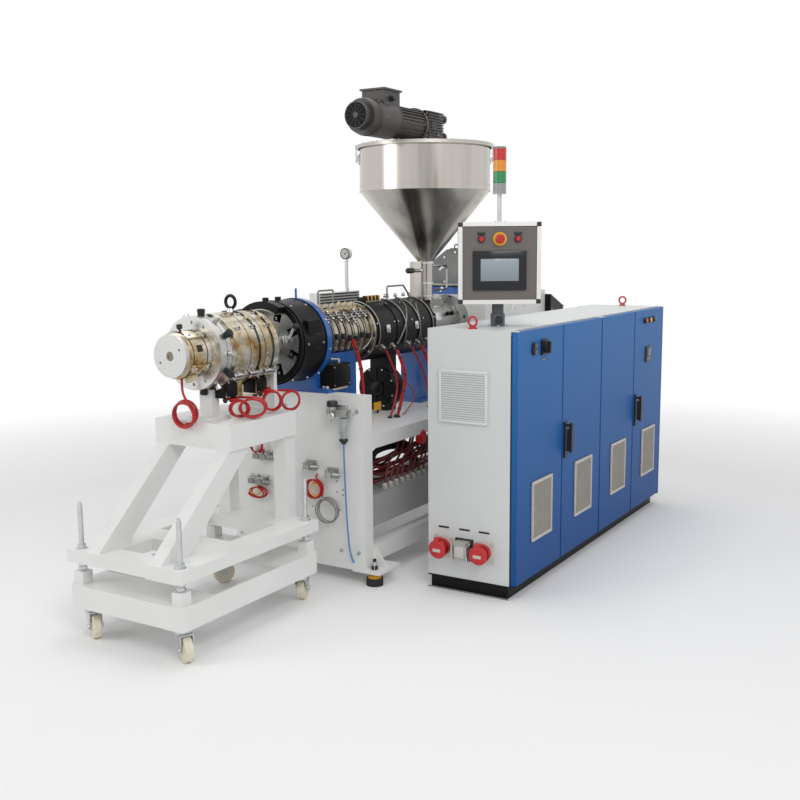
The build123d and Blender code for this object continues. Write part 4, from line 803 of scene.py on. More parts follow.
def coil_route(
    centre, across, up, radius, turns, start=0.0, drift=(0, 0, 0), squeeze=1.0, per_turn=12, spread=0.0
):
    """Points of loose turns in the plane of two directions, in millimetres."""
    centre, across, up, drift = Vector(centre), Vector(across), Vector(up), Vector(drift)
    count = int(round(turns * per_turn))
    route = []
    for step in range(count + 1):
        share = step / per_turn
        angle = math.radians(start) + 2 * math.pi * share
        reach = radius * (1 + spread * math.sin(1.7 * share * math.pi))
        offset = across * (reach * math.cos(angle)) + up * (reach * squeeze * math.sin(angle))
        route.append(tuple(centre + offset + drift * share))
    return route


class ExtruderOperator:
    """What the building operators share."""

    bl_options = {"REGISTER", "UNDO"}


class EXTRUDER_OT_finishes(ExtruderOperator, bpy.types.Operator):
    """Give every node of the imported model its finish"""

    bl_idname = "extruder.finishes"
    bl_label = "Finish the packed nodes"

    def execute(self, context):
        finishes = {
            white_sprayed_enamel: (
                "trolley_lower_frame trolley_upper_frame trolley_header trolley_legs base_end_plates "
                "base_rails base_deck barrel_boxes gearbox"
            ),
            grey_powder_coat: "cabinet_walls cabinet_back cabinet_top",
            blue_powder_coat: "door_1 door_2 door_3 door_4",
            blue_enamel: "blue_stands motor_base",
            black_powder_coat: "black_covers blower cabinet_plinth",
            machined_steel: "die_head",
            dull_cast_steel: "ring_clamp drive_flange",
            heater_sheath: "die_heaters",
            dull_band_steel: "barrel_heaters",
            zinc_plate: "trolley_jack_screws caster_fork_1 caster_fork_2 caster_fork_3 caster_fork_4",
            polished_stainless: "hopper feed_throat",
            brushed_stainless: "hopper_lid",
            grey_painted_casting: "main_motor",
            dark_painted_casting: "stirrer_drive",
            grey_trunk_coat: "cable_trunk",
            slate_paint: "panel_collar panel_pole",
            annealed_tube: "cooling_tubes",
            anodised_aluminium: "panel_frame",
            warm_grey_foil: "panel_housing",
            dark_gloss_acrylic: "panel_controls",
            lamp_lenses: "signal_lamp",
            socket_set_plastics: "plug_sockets",
            red_enamel: "lifting_eyes",
            cream_cast_nylon: "caster_wheel_1 caster_wheel_2 caster_wheel_3 caster_wheel_4",
            black_rubber: "levelling_feet",
            black_moulded_nylon: (
                "door_1_controls main_switch_knob door_2_lock door_2_lever door_4_lock door_4_lever"
            ),
            red_silicone_lead: "barrel_leads front_lead_coil front_lead_tube",
        }
        left = set(frame["nodes"])
        for make, names in finishes.items():
            for name in names.split():
                mesh = frame["nodes"][name].data
                mesh.materials.clear()
                mesh.materials.append(finish(make))
                left.discard(name)
        if left:
            raise RuntimeError(f"no finish for {sorted(left)}")
        return {"FINISHED"}


class EXTRUDER_OT_stage(ExtruderOperator, bpy.types.Operator):
    """Set the pale floor, the soft studio light and the camera"""

    bl_idname = "extruder.stage"
    bl_label = "Set the stage"

    def execute(self, context):
        scene = context.scene
        mesh = bpy.data.meshes.new("studio_floor")
        bm = bmesh.new()
        bmesh.ops.create_grid(bm, x_segments=1, y_segments=1, size=30.0)
        bm.to_mesh(mesh)
        bm.free()
        floor = bpy.data.objects.new("studio_floor", mesh)
        scene.collection.objects.link(floor)
        # Matt studio floor: pale, with only the machine's soft shadow on it
        material, tree, shader, place = start_material("matt_studio_floor", 0.9)
        cloud = noise(tree, place, 0.4)
        coloured(tree, shader, ramp(tree, cloud, (0.0, linear("#f2f2f2")), (1.0, linear("#f7f7f7"))))
        # The floor thins out into the white round it, well clear of the machine's shadow
        reach = add_node(tree, "ShaderNodeVectorMath", {0: place}, operation="LENGTH")
        fade_from, fade_to = 2.6, 5.5
        thin = mapped(tree, reach.outputs["Value"], fade_from, fade_to)
        clear = add_node(tree, "ShaderNodeBsdfTransparent")
        faded = add_node(
            tree,
            "ShaderNodeMixShader",
            {0: thin, 1: shader.outputs["BSDF"], 2: clear.outputs["BSDF"]},
        )
        tree.links.new(faded.outputs["Shader"], tree.nodes["Material Output"].inputs["Surface"])
        mesh.materials.append(material)

        world = bpy.data.worlds.new("studio_world")
        world.use_nodes = True
        tree = world.node_tree
        tree.nodes.clear()
        path = add_node(tree, "ShaderNodeLightPath")
        seen = path.outputs["Is Camera Ray"]
        soft = add_node(tree, "ShaderNodeBackground", {"Color": (1, 1, 1, 1), "Strength": 0.50})
        white = add_node(tree, "ShaderNodeBackground", {"Color": (1, 1, 1, 1), "Strength": 1.0})
        clear = reckoned(tree, "MAXIMUM", seen, path.outputs["Is Transmission Ray"])
        bright = reckoned(tree, "MAXIMUM", clear, path.outputs["Is Glossy Ray"])
        chosen = add_node(
            tree,
            "ShaderNodeMixShader",
            {0: bright, 1: soft.outputs["Background"], 2: white.outputs["Background"]},
        )
        add_node(tree, "ShaderNodeOutputWorld", {"Surface": chosen.outputs["Shader"]})
        scene.world = world

        lamps = [
            # name, place, target, size, power
            ("key_lamp", (-4.5, -4.5, 5.0), (0, 0, 0.8), 3.0, 150),
            ("side_lamp", (-5.0, 3.5, 3.0), (-1.0, 0.3, 0.9), 2.5, 60),
            ("top_lamp", (0.5, 0.0, 5.5), (0, 0, 0), 3.5, 80),
        ]
        for name, place, target, size, power in lamps:
            data = bpy.data.lights.new(name, "AREA")
            data.size = size
            data.energy = power
            lamp = bpy.data.objects.new(name, data)
            scene.collection.objects.link(lamp)
            lamp.location = place
            lamp.rotation_euler = (Vector(target) - Vector(place)).to_track_quat("-Z", "Y").to_euler()

        data = bpy.data.cameras.new("photo_camera")
        data.lens = 46.2
        data.sensor_width = 36
        data.clip_start = 0.1
        camera = bpy.data.objects.new("photo_camera", data)
        scene.collection.objects.link(camera)
        yaw, pitch, roll = math.radians(31.34), math.radians(8.456), math.radians(-0.474)
        ahead = Vector(
            (math.cos(pitch) * math.cos(yaw), math.cos(pitch) * math.sin(yaw), -math.sin(pitch))
        )
        level = Vector((math.sin(yaw), -math.cos(yaw), 0))
        over = level.cross(ahead)
        right = math.cos(roll) * level + math.sin(roll) * over
        up = -math.sin(roll) * level + math.cos(roll) * over
        camera.matrix_world = Matrix.Translation((-4.450, AXIS_Y - 2.850, 1.520)) @ Matrix(
            (right, up, -ahead)
        ).transposed().to_4x4()
        scene.camera = camera
        scene.view_settings.view_transform = "Standard"
        return {"FINISHED"}


class EXTRUDER_OT_leads(ExtruderOperator, bpy.types.Operator):
    """Hang the coiled heater leads over the trolley"""

    bl_idname = "extruder.leads"
    bl_label = "Red heater leads"

    def execute(self, context):
        thick = sizes().lead

        def loose_lead(name, route, replaces=()):
            lead = soft_lines(name, [route], thick / 2, red_silicone_lead)
            if replaces:
                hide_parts(*replaces)

        # Front heater's lead: straight down, then loose turns of different sizes
        drop = [
            (-1420, 18, 1012), (-1420, 18, 985), (-1421, 16, 958), (-1424, 4, 934), (-1427, -14, 918)
        ]
        turns = coil_route(
            (-1429, 16, 864), FAR, UP, 58, 3.4, start=135, drift=(11.5, 0, 0), squeeze=0.88, spread=0.13
        )
        loose_lead(
            "front_heater_lead", drop + turns, replaces=("front_lead_coil", "front_lead_tube")
        )

        # Leads of the main heater's boxes and of the adaptor, in loose loops above the header
        hank = [(-1262, -70, 910), (-1262, -88, 910)]
        hank += coil_route(
            (-1252, -118, 876), (-0.55, 0.83, 0), UP, 40, 2.1,
            start=90, drift=(3, -11, 0), squeeze=0.85, spread=0.10,
        )
        loose_lead("heater_box_hank", hank)
        loop = [(-1229, -76, 910), (-1229, -100, 915), (-1236, -142, 919)]
        loop += coil_route(
            (-1215, -172, 880), (-0.66, 0.75, 0), UP, 54, 2.5,
            start=90, drift=(-9, -8, 0), squeeze=0.72, spread=0.10,
        )
        loose_lead("header_edge_loop", loop)
        low = [(-1066, -80, 910), (-1067, -98, 913), (-1068, -117, 925)]
        low += coil_route(
            (-1052, -142, 884), (-0.52, 0.85, 0), UP, 39, 3.1, start=90, drift=(-8, -9, 0), squeeze=1.08
        )
        loose_lead("upright_hank", low)
        rear = [
            (-1024, -70, 930), (-1000, -78, 927), (-966, -88, 917), (-938, -95, 908), (-916, -101, 905)
        ]
        rear += coil_route(
            (-890, -116, 863), (-0.85, 0.52, 0), UP, 42, 2.0, start=90, drift=(-7, -8, 0), spread=0.08
        )
        loose_lead("cradle_loop", rear)
        return {"FINISHED"}


class EXTRUDER_OT_harness(ExtruderOperator, bpy.types.Operator):
    """Run the barrel's leads down to the deck in place of their plain solids"""

    bl_idname = "extruder.harness"
    bl_label = "Barrel harness"

    def execute(self, context):
        bundles = [
            [(-421, -141, 1092), (-404, -160, 1000), (-392, -172, 900), (-380, -172, 684)],
            [
                (-65, -166, 1011), (-62, -200, 930), (-50, -204, 850), (-92, -206, 760),
                (-150, -212, 684),
            ],
            [(181, -166, 1011), (190, -196, 930), (212, -214, 836), (240, -218, 760), (246, -218, 684)],
        ]
        singles = [
            [
                (-160, -161, 1014), (-110, -172, 930), (-84, -182, 842), (-117, -186, 760),
                (-189, -196, 684),
            ],
            [(84, -161, 1014), (150, -172, 930), (192, -182, 836), (216, -186, 760), (224, -186, 684)],
        ]
        routes = list(singles)
        for route in bundles:
            for number in range(3):
                lead = []
                for step, (x, y, z) in enumerate(route):
                    angle = 2 * math.pi * number / 3 + step * 0.8
                    lead.append((x + 5 * math.cos(angle), y + 5 * math.sin(angle), z))
                routes.append(lead)
        harness = soft_lines("barrel_harness", routes, sizes().lead / 2, red_silicone_lead)
        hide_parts("barrel_leads")
        bm = bmesh.new()
        for route in bundles:
            for (x0, y0, z0), (x1, y1, z1) in zip(route, route[1:]):
                middle = mm((x0 + x1) / 2, (y0 + y1) / 2, (z0 + z1) / 2)
                along = (mm(x1, y1, z1) - mm(x0, y0, z0)).normalized()
                bar(bm, middle - along * 0.003, middle + along * 0.003, 10.5, segments=16)
            x, y, z = route[-1]
            turned(bm, mm(x, y, z), UP, [(0, 14), (10, 14), (13, 9), (17, 8), (17, 0), (0, 0)], 20)
        for route in singles:
            x, y, z = route[-1]
            turned(bm, mm(x, y, z), UP, [(0, 11), (6, 11), (9, 7), (12, 6), (12, 0), (0, 0)], 18)
        new_piece("harness_ties", bm, [black_moulded_nylon])
        return {"FINISHED"}


class EXTRUDER_OT_die(ExtruderOperator, bpy.types.Operator):
    """Fit the die's screws, its heaters' clamps and the covers of their boxes"""

    bl_idname = "extruder.die"
    bl_label = "Die and its heaters"

    def execute(self, context):
        bm = bmesh.new()
        # Bore bush and the nose's two screws
        turned(bm, on_axis(-1500), FRONT, [(0, -6), (8, -6), (9, 2), (17, 2), (19, 0), (0, 0)], 32, 1)
        # Black socket discs: painted shade for the screws' hollow sockets
        screw_circle(bm, -1500, (62, 242), 58, 9, 1.5, 0, recess=2, out=FRONT)
        for angle in range(15, 375, 30):
            bar(bm, around(-1356, angle, 125), around(-1368, angle, 125), 6.5, segments=6, mat=2)
        for angle in range(0, 360, 60):
            stud(bm, -1312, angle, 144, 173, 13, 17, segments=28, mat=2)
            stud(bm, -1312, angle, 173, 176, 15, 13, segments=28, mat=2)
        for x in (-1296, -1325):
            hoop(bm, x, 146, 1.2, 64, mat=2)
        new_piece("die_screws", bm, [machined_steel, scorched_bronze, black_rubber])

        bm = bmesh.new()
        # Small heater: clamp bar across it, knob on top, pinch screws underneath
        for angle in (38, 118):
            turn = seated(angle)
            block(bm, (-1470, -1376), (-13, 13), (92, 104), turn=turn)
            for x in (-1455, -1391):
                screw(bm, around(x, angle, 104), outward(angle), 6, 6, 1)
        turned(
            bm, around(-1424, -8, 92), outward(-8),
            [(0, 30), (9, 30), (12, 26), (12, 12), (5, 9), (5, 0), (0, 0)], 20, 2,
        )
        for x in (-1462, -1384):
            hoop(bm, x, 93.5, 2.2, 56, mat=1)
        block(bm, (-1440, -1408), (-22, 22), (92, 112), 3, turn=seated(158))
        block(bm, (-1436, -1412), (-14, 14), (92, 97), 4, turn=seated(72))
        # Main heater: three bands, each with split lugs, pinch screws, plates and rivets
        for low in (-1284, -1187, -1091):
            high = low + 91
            for angle in (126, 232):
                turn = seated(angle)
                for side in (-11, 4):
                    block(bm, (low + 6, high - 6), (side, side + 7), (153, 172), 1, turn=turn)
                for x in (low + 22, high - 22):
                    pinch_screw(bm, turn, x, (-19, 20), 163, 4, 7, 0.16, 1)
            for angle in (20, 52):
                turn = seated(angle)
                block(bm, (low + 26, high - 26), (-9, 9), (154, 158), 5, turn=turn)
                for x in (low + 33, high - 33):
                    stud(bm, x, angle, 157, 160.5, 3.4, segments=12, mat=4)
            for angle in range(96, 186, 9):
                stud(bm, low + 12, angle, 154.5, 156.8, 3, segments=10, mat=1)
        for x in (-1134, -1045):
            ring(bm, on_axis(x), ALONG, 158, 2.6, segments=72, mat=4)
            block(bm, (x - 9, x + 9), (-8, 8), (155, 166), 3, turn=seated(33))
        new_piece(
            "heater_clamps", bm,
            [
                heater_sheath, zinc_plate, black_moulded_nylon, beige_ceramic, black_rubber,
                dull_cast_steel,
            ],
        )

        bm = bmesh.new()
        # Box covers with their screws and glands
        for x in (-1247.6, -1057):
            block(bm, (x - 31, x + 31), (-98, -95.5), (912, 988))
            screws(bm, (x - 24, x + 24), (-98,), (920, 980), NEAR, 4, 2, 1)
            block(bm, (x - 34.6, x - 33), (-88, -22), (914, 986))
            for dx in (-18, 18):
                turned(
                    bm, mm(x + dx, -72, 910), DOWN,
                    [(0, 16), (6, 16), (9, 12), (9, 8), (11, 7), (11, 0), (0, 0)], 20, 2,
                )
        new_piece("heater_box_covers", bm, [black_powder_coat, zinc_plate, black_moulded_nylon])

        bm = bmesh.new()
        # Lifting ring's collar, cradle screws and adaptor flange screws
        turned(bm, mm(-1130, 0, 1258), UP, [(0, 16), (12, 16), (16, 8), (19, 0), (0, 0)], 24)
        # Black socket discs: painted shade for the screws' hollow sockets
        screw_circle(bm, -1000, range(22, 382, 45), 82, 8, 8, 0, recess=1, out=FRONT)
        for x in (-954, -975):
            hoop(bm, x, 100, 1.4, 56, mat=1)
        new_piece("adaptor_screws", bm, [zinc_plate, black_rubber])
        return {"FINISHED"}


class EXTRUDER_OT_ring_clamp(ExtruderOperator, bpy.types.Operator):
    """Fit the ring clamp's screws, links and lever, and dress its cover and the blue plate"""

    bl_idname = "extruder.ring_clamp"
    bl_label = "Ring clamp"

    def execute(self, context):
        bm = bmesh.new()
        for number in range(7):
            angle = number * 360 / 7 + 12
            for radius in (112, 138):
                # Black socket discs: painted shade for the screws' hollow sockets
                screw(bm, around(-849, angle, radius), FRONT, 7, 7, 0, recess=1)
            turn = seated(angle + 360 / 14)
            block(bm, (-842, -824), (-24, 24), (122, 134), turn=turn)
        # Clamp lever on the near side
        bar(bm, around(-885, 78, 120), around(-905, 64, 176), 7, segments=16)
        turned(
            bm, around(-905, 64, 174), outward(64),
            [(0, 26), (7, 25), (12, 18), (12, 8), (8, 0), (0, 0)], 20, 2,
        )
        block(bm, (-918, -868), (-16, 16), (108, 124), turn=seated(78))
        # Black socket discs: painted shade for the screws' hollow sockets
        screw_circle(bm, -862, (96, 116, 140), 146, 9, 9, 0, recess=1, out=FRONT)
        new_piece("ring_clamp_screws", bm, [zinc_plate, black_rubber, black_moulded_nylon])

        bm = bmesh.new()
        for x in (-867, -703):
            ring(bm, on_axis(x), ALONG, 187, 2.4, segments=80, sides=8)
        for x in (-840, -730):
            screw_circle(bm, x, (30, 90, 150, 270), 187, 6, 4, 1)
        screw_circle(bm, -700, range(15, 375, 45), 189.5, 1.6, 1, 1, out=FRONT)
        screw_circle(bm, -684, range(20, 380, 40), 192, 6.5, 5, 1)
        # Raised strips round the cover's near side
        for angle in (58, 78, 98, 118):
            block(bm, (-822, -748), (-6, 6), (186, 190), turn=seated(angle))
        new_piece("ring_cover_screws", bm, [black_powder_coat, zinc_plate])

        bm = bmesh.new()
        # Blue stand: screws of its upper flange and near side
        screws(bm, (-668, -584), (-160, -140, 140, 160), (888,), UP, 9, 9)
        screws(bm, (-640, -430), (-120,), (720,), NEAR, 8, 6)
        # Junction box: lid, beige strip below, lever on top, gland
        block(bm, (-660, -526), (-191, -188), (894, 990), 2)
        screws(bm, (-652, -534), (-191,), (901, 983), NEAR, 3.5, 2)
        block(bm, (-655, -545), (-184, -124), (880, 888), 3)
        for x in range(-645, -545, 18):
            block(bm, (x, x + 11), (-187, -184), (878, 890), 3, edge=0.0005)
        bar(bm, mm(-560, -150, 996), mm(-560, -150, 1012), 8, segments=20)
        bar(bm, mm(-560, -150, 1010), mm(-640, -158, 1018), 5, 6.5, segments=14)
        turned(
            bm, mm(-600, -154, 888), DOWN, [(0, 26), (8, 26), (11, 18), (14, 17), (14, 0), (0, 0)], 20,
            4,
        )
        new_piece(
            "blue_stand_fittings", bm,
            [zinc_plate, blue_enamel, black_powder_coat, beige_ceramic, black_moulded_nylon],
        )
        return {"FINISHED"}


class EXTRUDER_OT_barrel(ExtruderOperator, bpy.types.Operator):
    """Fit the barrel heaters with clamps, posts and bridging wires, and dress the barrel covers"""

    bl_idname = "extruder.barrel"
    bl_label = "Barrel"

    def execute(self, context):
        rng = random.Random(7)
        bm = bmesh.new()
        first, pitch, width = -667, 53.9, 45.9
        for number in range(8):
            low = first + number * pitch
            high = low + width
            middle = (low + high) / 2
            for x in (low + 6, high - 6):
                hoop(bm, x, 128.2, 2.2, 56)
            lug = 48 + rng.uniform(-7, 7)
            for angle in (lug, lug + 180):
                turn = seated(angle)
                for side in (-12, 5):
                    block(bm, (low + 3, high - 3), (side, side + 7), (126, 147), turn=turn)
                pinch_screw(bm, turn, middle, (-26, 26), 138, 4.5, 8, 0.1)
            # Terminal posts under ceramic caps
            post = 16 + rng.uniform(-5, 5)
            for dx in (-10, 10):
                stud(bm, middle + dx, post, 127, 146, 6.5, segments=16, mat=1)
                stud(bm, middle + dx, post, 146, 153, 3, segments=10)
                screw(bm, around(middle + dx, post, 148), outward(post), 5.5, 3)
            block(bm, (low + 5, high - 5), (-16, 16), (126, 131), 1, turn=seated(post))
            block(
                bm, (low + 8, high - 8), (-13, 13), (127, 137), 2, turn=seated(92 + rng.uniform(-6, 6))
            )
            block(
                bm, (low + 12, high - 12), (-7, 7), (127, 133), 0, turn=seated(118 + rng.uniform(-6, 6))
            )
        new_piece("barrel_heater_clamps", bm, [dull_cast_steel, beige_ceramic, black_moulded_nylon])

        links = []
        for number in range(7):
            low = first + number * pitch + 23
            rise = rng.uniform(158, 172)
            for dx, angle in ((10, 16), (-10, 22)):
                a, b, c, d = (
                    around(low + dx, angle, 150),
                    around(low + dx + 6, angle + 2, rise),
                    around(low + dx + 38, angle - 3, rise - 3),
                    around(low + dx + 44, angle, 150),
                )
                links.append([(p.x * 1000, (p.y - AXIS_Y) * 1000, p.z * 1000) for p in (a, b, c, d)])
        soft_lines("heater_links", links, 0.0032, beige_ceramic)

        bm = bmesh.new()
        screw_circle(bm, -244, range(10, 370, 30), 139.5, 7, 7, 0, recess=1, out=FRONT)
        for x in (-228, -36, 364):
            hoop(bm, x, 148.2, 2.0, 72, mat=2)
        for x in (-214, -52, -14, 120, 236, 350):
            screw_circle(bm, x, (28, 72, 116, -70), 148, 5, 3.5, 0)
        for x in (-120, 160):
            turn = seated(84)
            block(bm, (x - 16, x + 16), (-20, 20), (147, 153), turn=turn)
            start, end = (turn @ Vector(((x + dx) / 1000, 0, 0.155)) for dx in (-8, 8))
            bar(bm, start, end, 5)
        # Connector block on the cover
        block(bm, (-146, -8), (-30, 18), (1243, 1274), 2)
        for number in range(8):
            x = -140 + number * 17
            block(bm, (x, x + 10), (-30.5, -12), (1256, 1281), 3 if number % 2 else 4, edge=0.001)
            bar(bm, mm(x + 5, -32, 1252), mm(x + 5, -26, 1252), 4, segments=12)
        # Plates and knobs on the feed housing
        block(bm, (430, 520), (-22, 22), (114, 118), turn=seated(70))
        for x in (400, 560, 610):
            turned(
                bm, around(x, 66, 114), outward(66),
                [(0, 20), (10, 19), (12, 14), (12, 6), (6, 0), (0, 0)], 18, 2,
            )
        screw_circle(bm, 650, range(8, 368, 45), 131, 9, 8, 0, out=FRONT)
        for angle in range(0, 360, 30):
            bar(bm, around(366, angle, 104), around(373, angle, 104), 6, segments=6)
        for angle in (20, 80, 140, 200, 260, 320):
            stud(bm, 700, angle, 144, 148, 9, segments=16, mat=2)
        new_piece(
            "barrel_cover_fittings", bm,
            [zinc_plate, machined_steel, black_powder_coat, yellow_moulded_plastic, black_rubber],
        )

        bm = bmesh.new()
        # Vent box louvres and the gauge's bezel, face and pointer
        for z in range(1120, 1290, 14):
            block(bm, (-280, 62), (144, 151), (z, z + 5), edge=0.0008)
        gauge = mm(-33, 165.3, 1490)
        ring(bm, gauge, FRONT, 26, 3, segments=40, mat=1)
        bar(bm, gauge, gauge + Vector((-0.0008, 0, 0)), 24, segments=36, mat=2)
        for number in range(9):
            up, across = off_centre(0, 0, 0.019, -120 + number * 30)
            spot = gauge + Vector((-0.001, across, up))
            bar(bm, spot, spot + Vector((-0.0004, 0, 0)), 1.1, segments=8, mat=3)
        needle = gauge + Vector((-0.0018, 0, 0))
        bar(
            bm, needle + Vector((0, 0.004, -0.004)), needle + Vector((0, -0.014, 0.012)), 0.9, 0.3,
            segments=8, mat=3,
        )
        bar(bm, needle + Vector((0.001, 0, 0)), needle + Vector((-0.001, 0, 0)), 3, segments=14, mat=3)
        for z in (1300, 1450):
            bar(bm, mm(-20, 165.3, z), mm(-20, 165.3, z + 12), 13, segments=6, mat=1)
        new_piece("vent_and_gauge", bm, [black_powder_coat, zinc_plate, pale_glass_fibre, black_rubber])
        return {"FINISHED"}


class EXTRUDER_OT_cooling(ExtruderOperator, bpy.types.Operator):
    """Add nuts and unions to the cooling tubes and dress the blower"""

    bl_idname = "extruder.cooling"
    bl_label = "Cooling and blower"

    def execute(self, context):
        bm = bmesh.new()
        for x in (-160, -65, 84, 181, 278):
            seat, out = around(x, 118.6, 148), outward(118.6)
            bar(bm, seat + out * 0.004, seat + out * 0.011, 12.5, segments=6)
            bar(bm, seat + out * 0.016, seat + out * 0.023, 11.5, segments=6)
            bar(bm, seat, seat + out * 0.003, 15, segments=20, mat=1)
        for x in (-110, 90, 190, 108, 271, 330):
            bar(bm, mm(x, 0, 1262), mm(x, 0, 1272), 11, segments=6)
            bar(bm, mm(x, 0, 1275), mm(x, 0, 1280), 9, segments=6)
        for x in (-505, -380):
            bar(bm, mm(x, 0, 1236), mm(x, 0, 1248), 11, segments=6)
        new_piece("tube_unions", bm, [annealed_tube, machined_steel])

        routes = [
            [
                (182, -30, 1256), (150, -88, 1228), (90, -130, 1177), (47, -152, 1133),
                (10, -150, 1080), (-8, -134, 1037),
            ],
            [
                (247, -90, 1226), (205, -130, 1182), (185, -152, 1142), (200, -152, 1090),
                (224, -134, 1042),
            ],
            [
                (-298, -148, 1173), (-282, -156, 1135), (-285, -158, 1089), (-305, -148, 1058),
                (-327, -132, 1036),
            ],
            [(-29, -175, 857), (42, -180, 816), (82, -182, 764), (24, -190, 712), (-73, -200, 684)],
        ]
        soft_lines("cover_tubes", routes[:3], 0.0045, annealed_tube)
        soft_lines("thin_deck_lead", routes[3:], 0.003, red_silicone_lead)

        bm = bmesh.new()
        # Blower: guard rings, spokes, hub screws, rim screws and a yellow plate
        for radius in (46, 62, 78, 94):
            hoop(bm, -3, radius, 1.8, 48, height=BLOWER)
        for angle in range(0, 360, 45):
            start = around(-5, angle, 38, centre_z=BLOWER)
            bar(bm, start, around(-2, angle, 104, centre_z=BLOWER), 2, segments=8)
            screw(bm, around(0, angle + 20, 101, centre_z=BLOWER), FRONT, 5, 4, 1)
        turned(bm, mm(-8, 0, BLOWER), FRONT, [(0, 6), (14, 6), (20, 3), (30, 0), (0, 0)], 28)
        block(bm, (-122, -59), (-64, -58), (700, 742), 2)
        hoop(bm, 45, 110.5, 2.5, 56, height=BLOWER)
        screws(bm, (-112, -69), (-64,), (721,), NEAR, 3, 2, 1)
        bar(bm, mm(-90, -61, 684), mm(-90, -61, 704), 5, segments=12)
        new_piece("blower_fittings", bm, [black_powder_coat, zinc_plate, yellow_moulded_plastic])
        return {"FINISHED"}


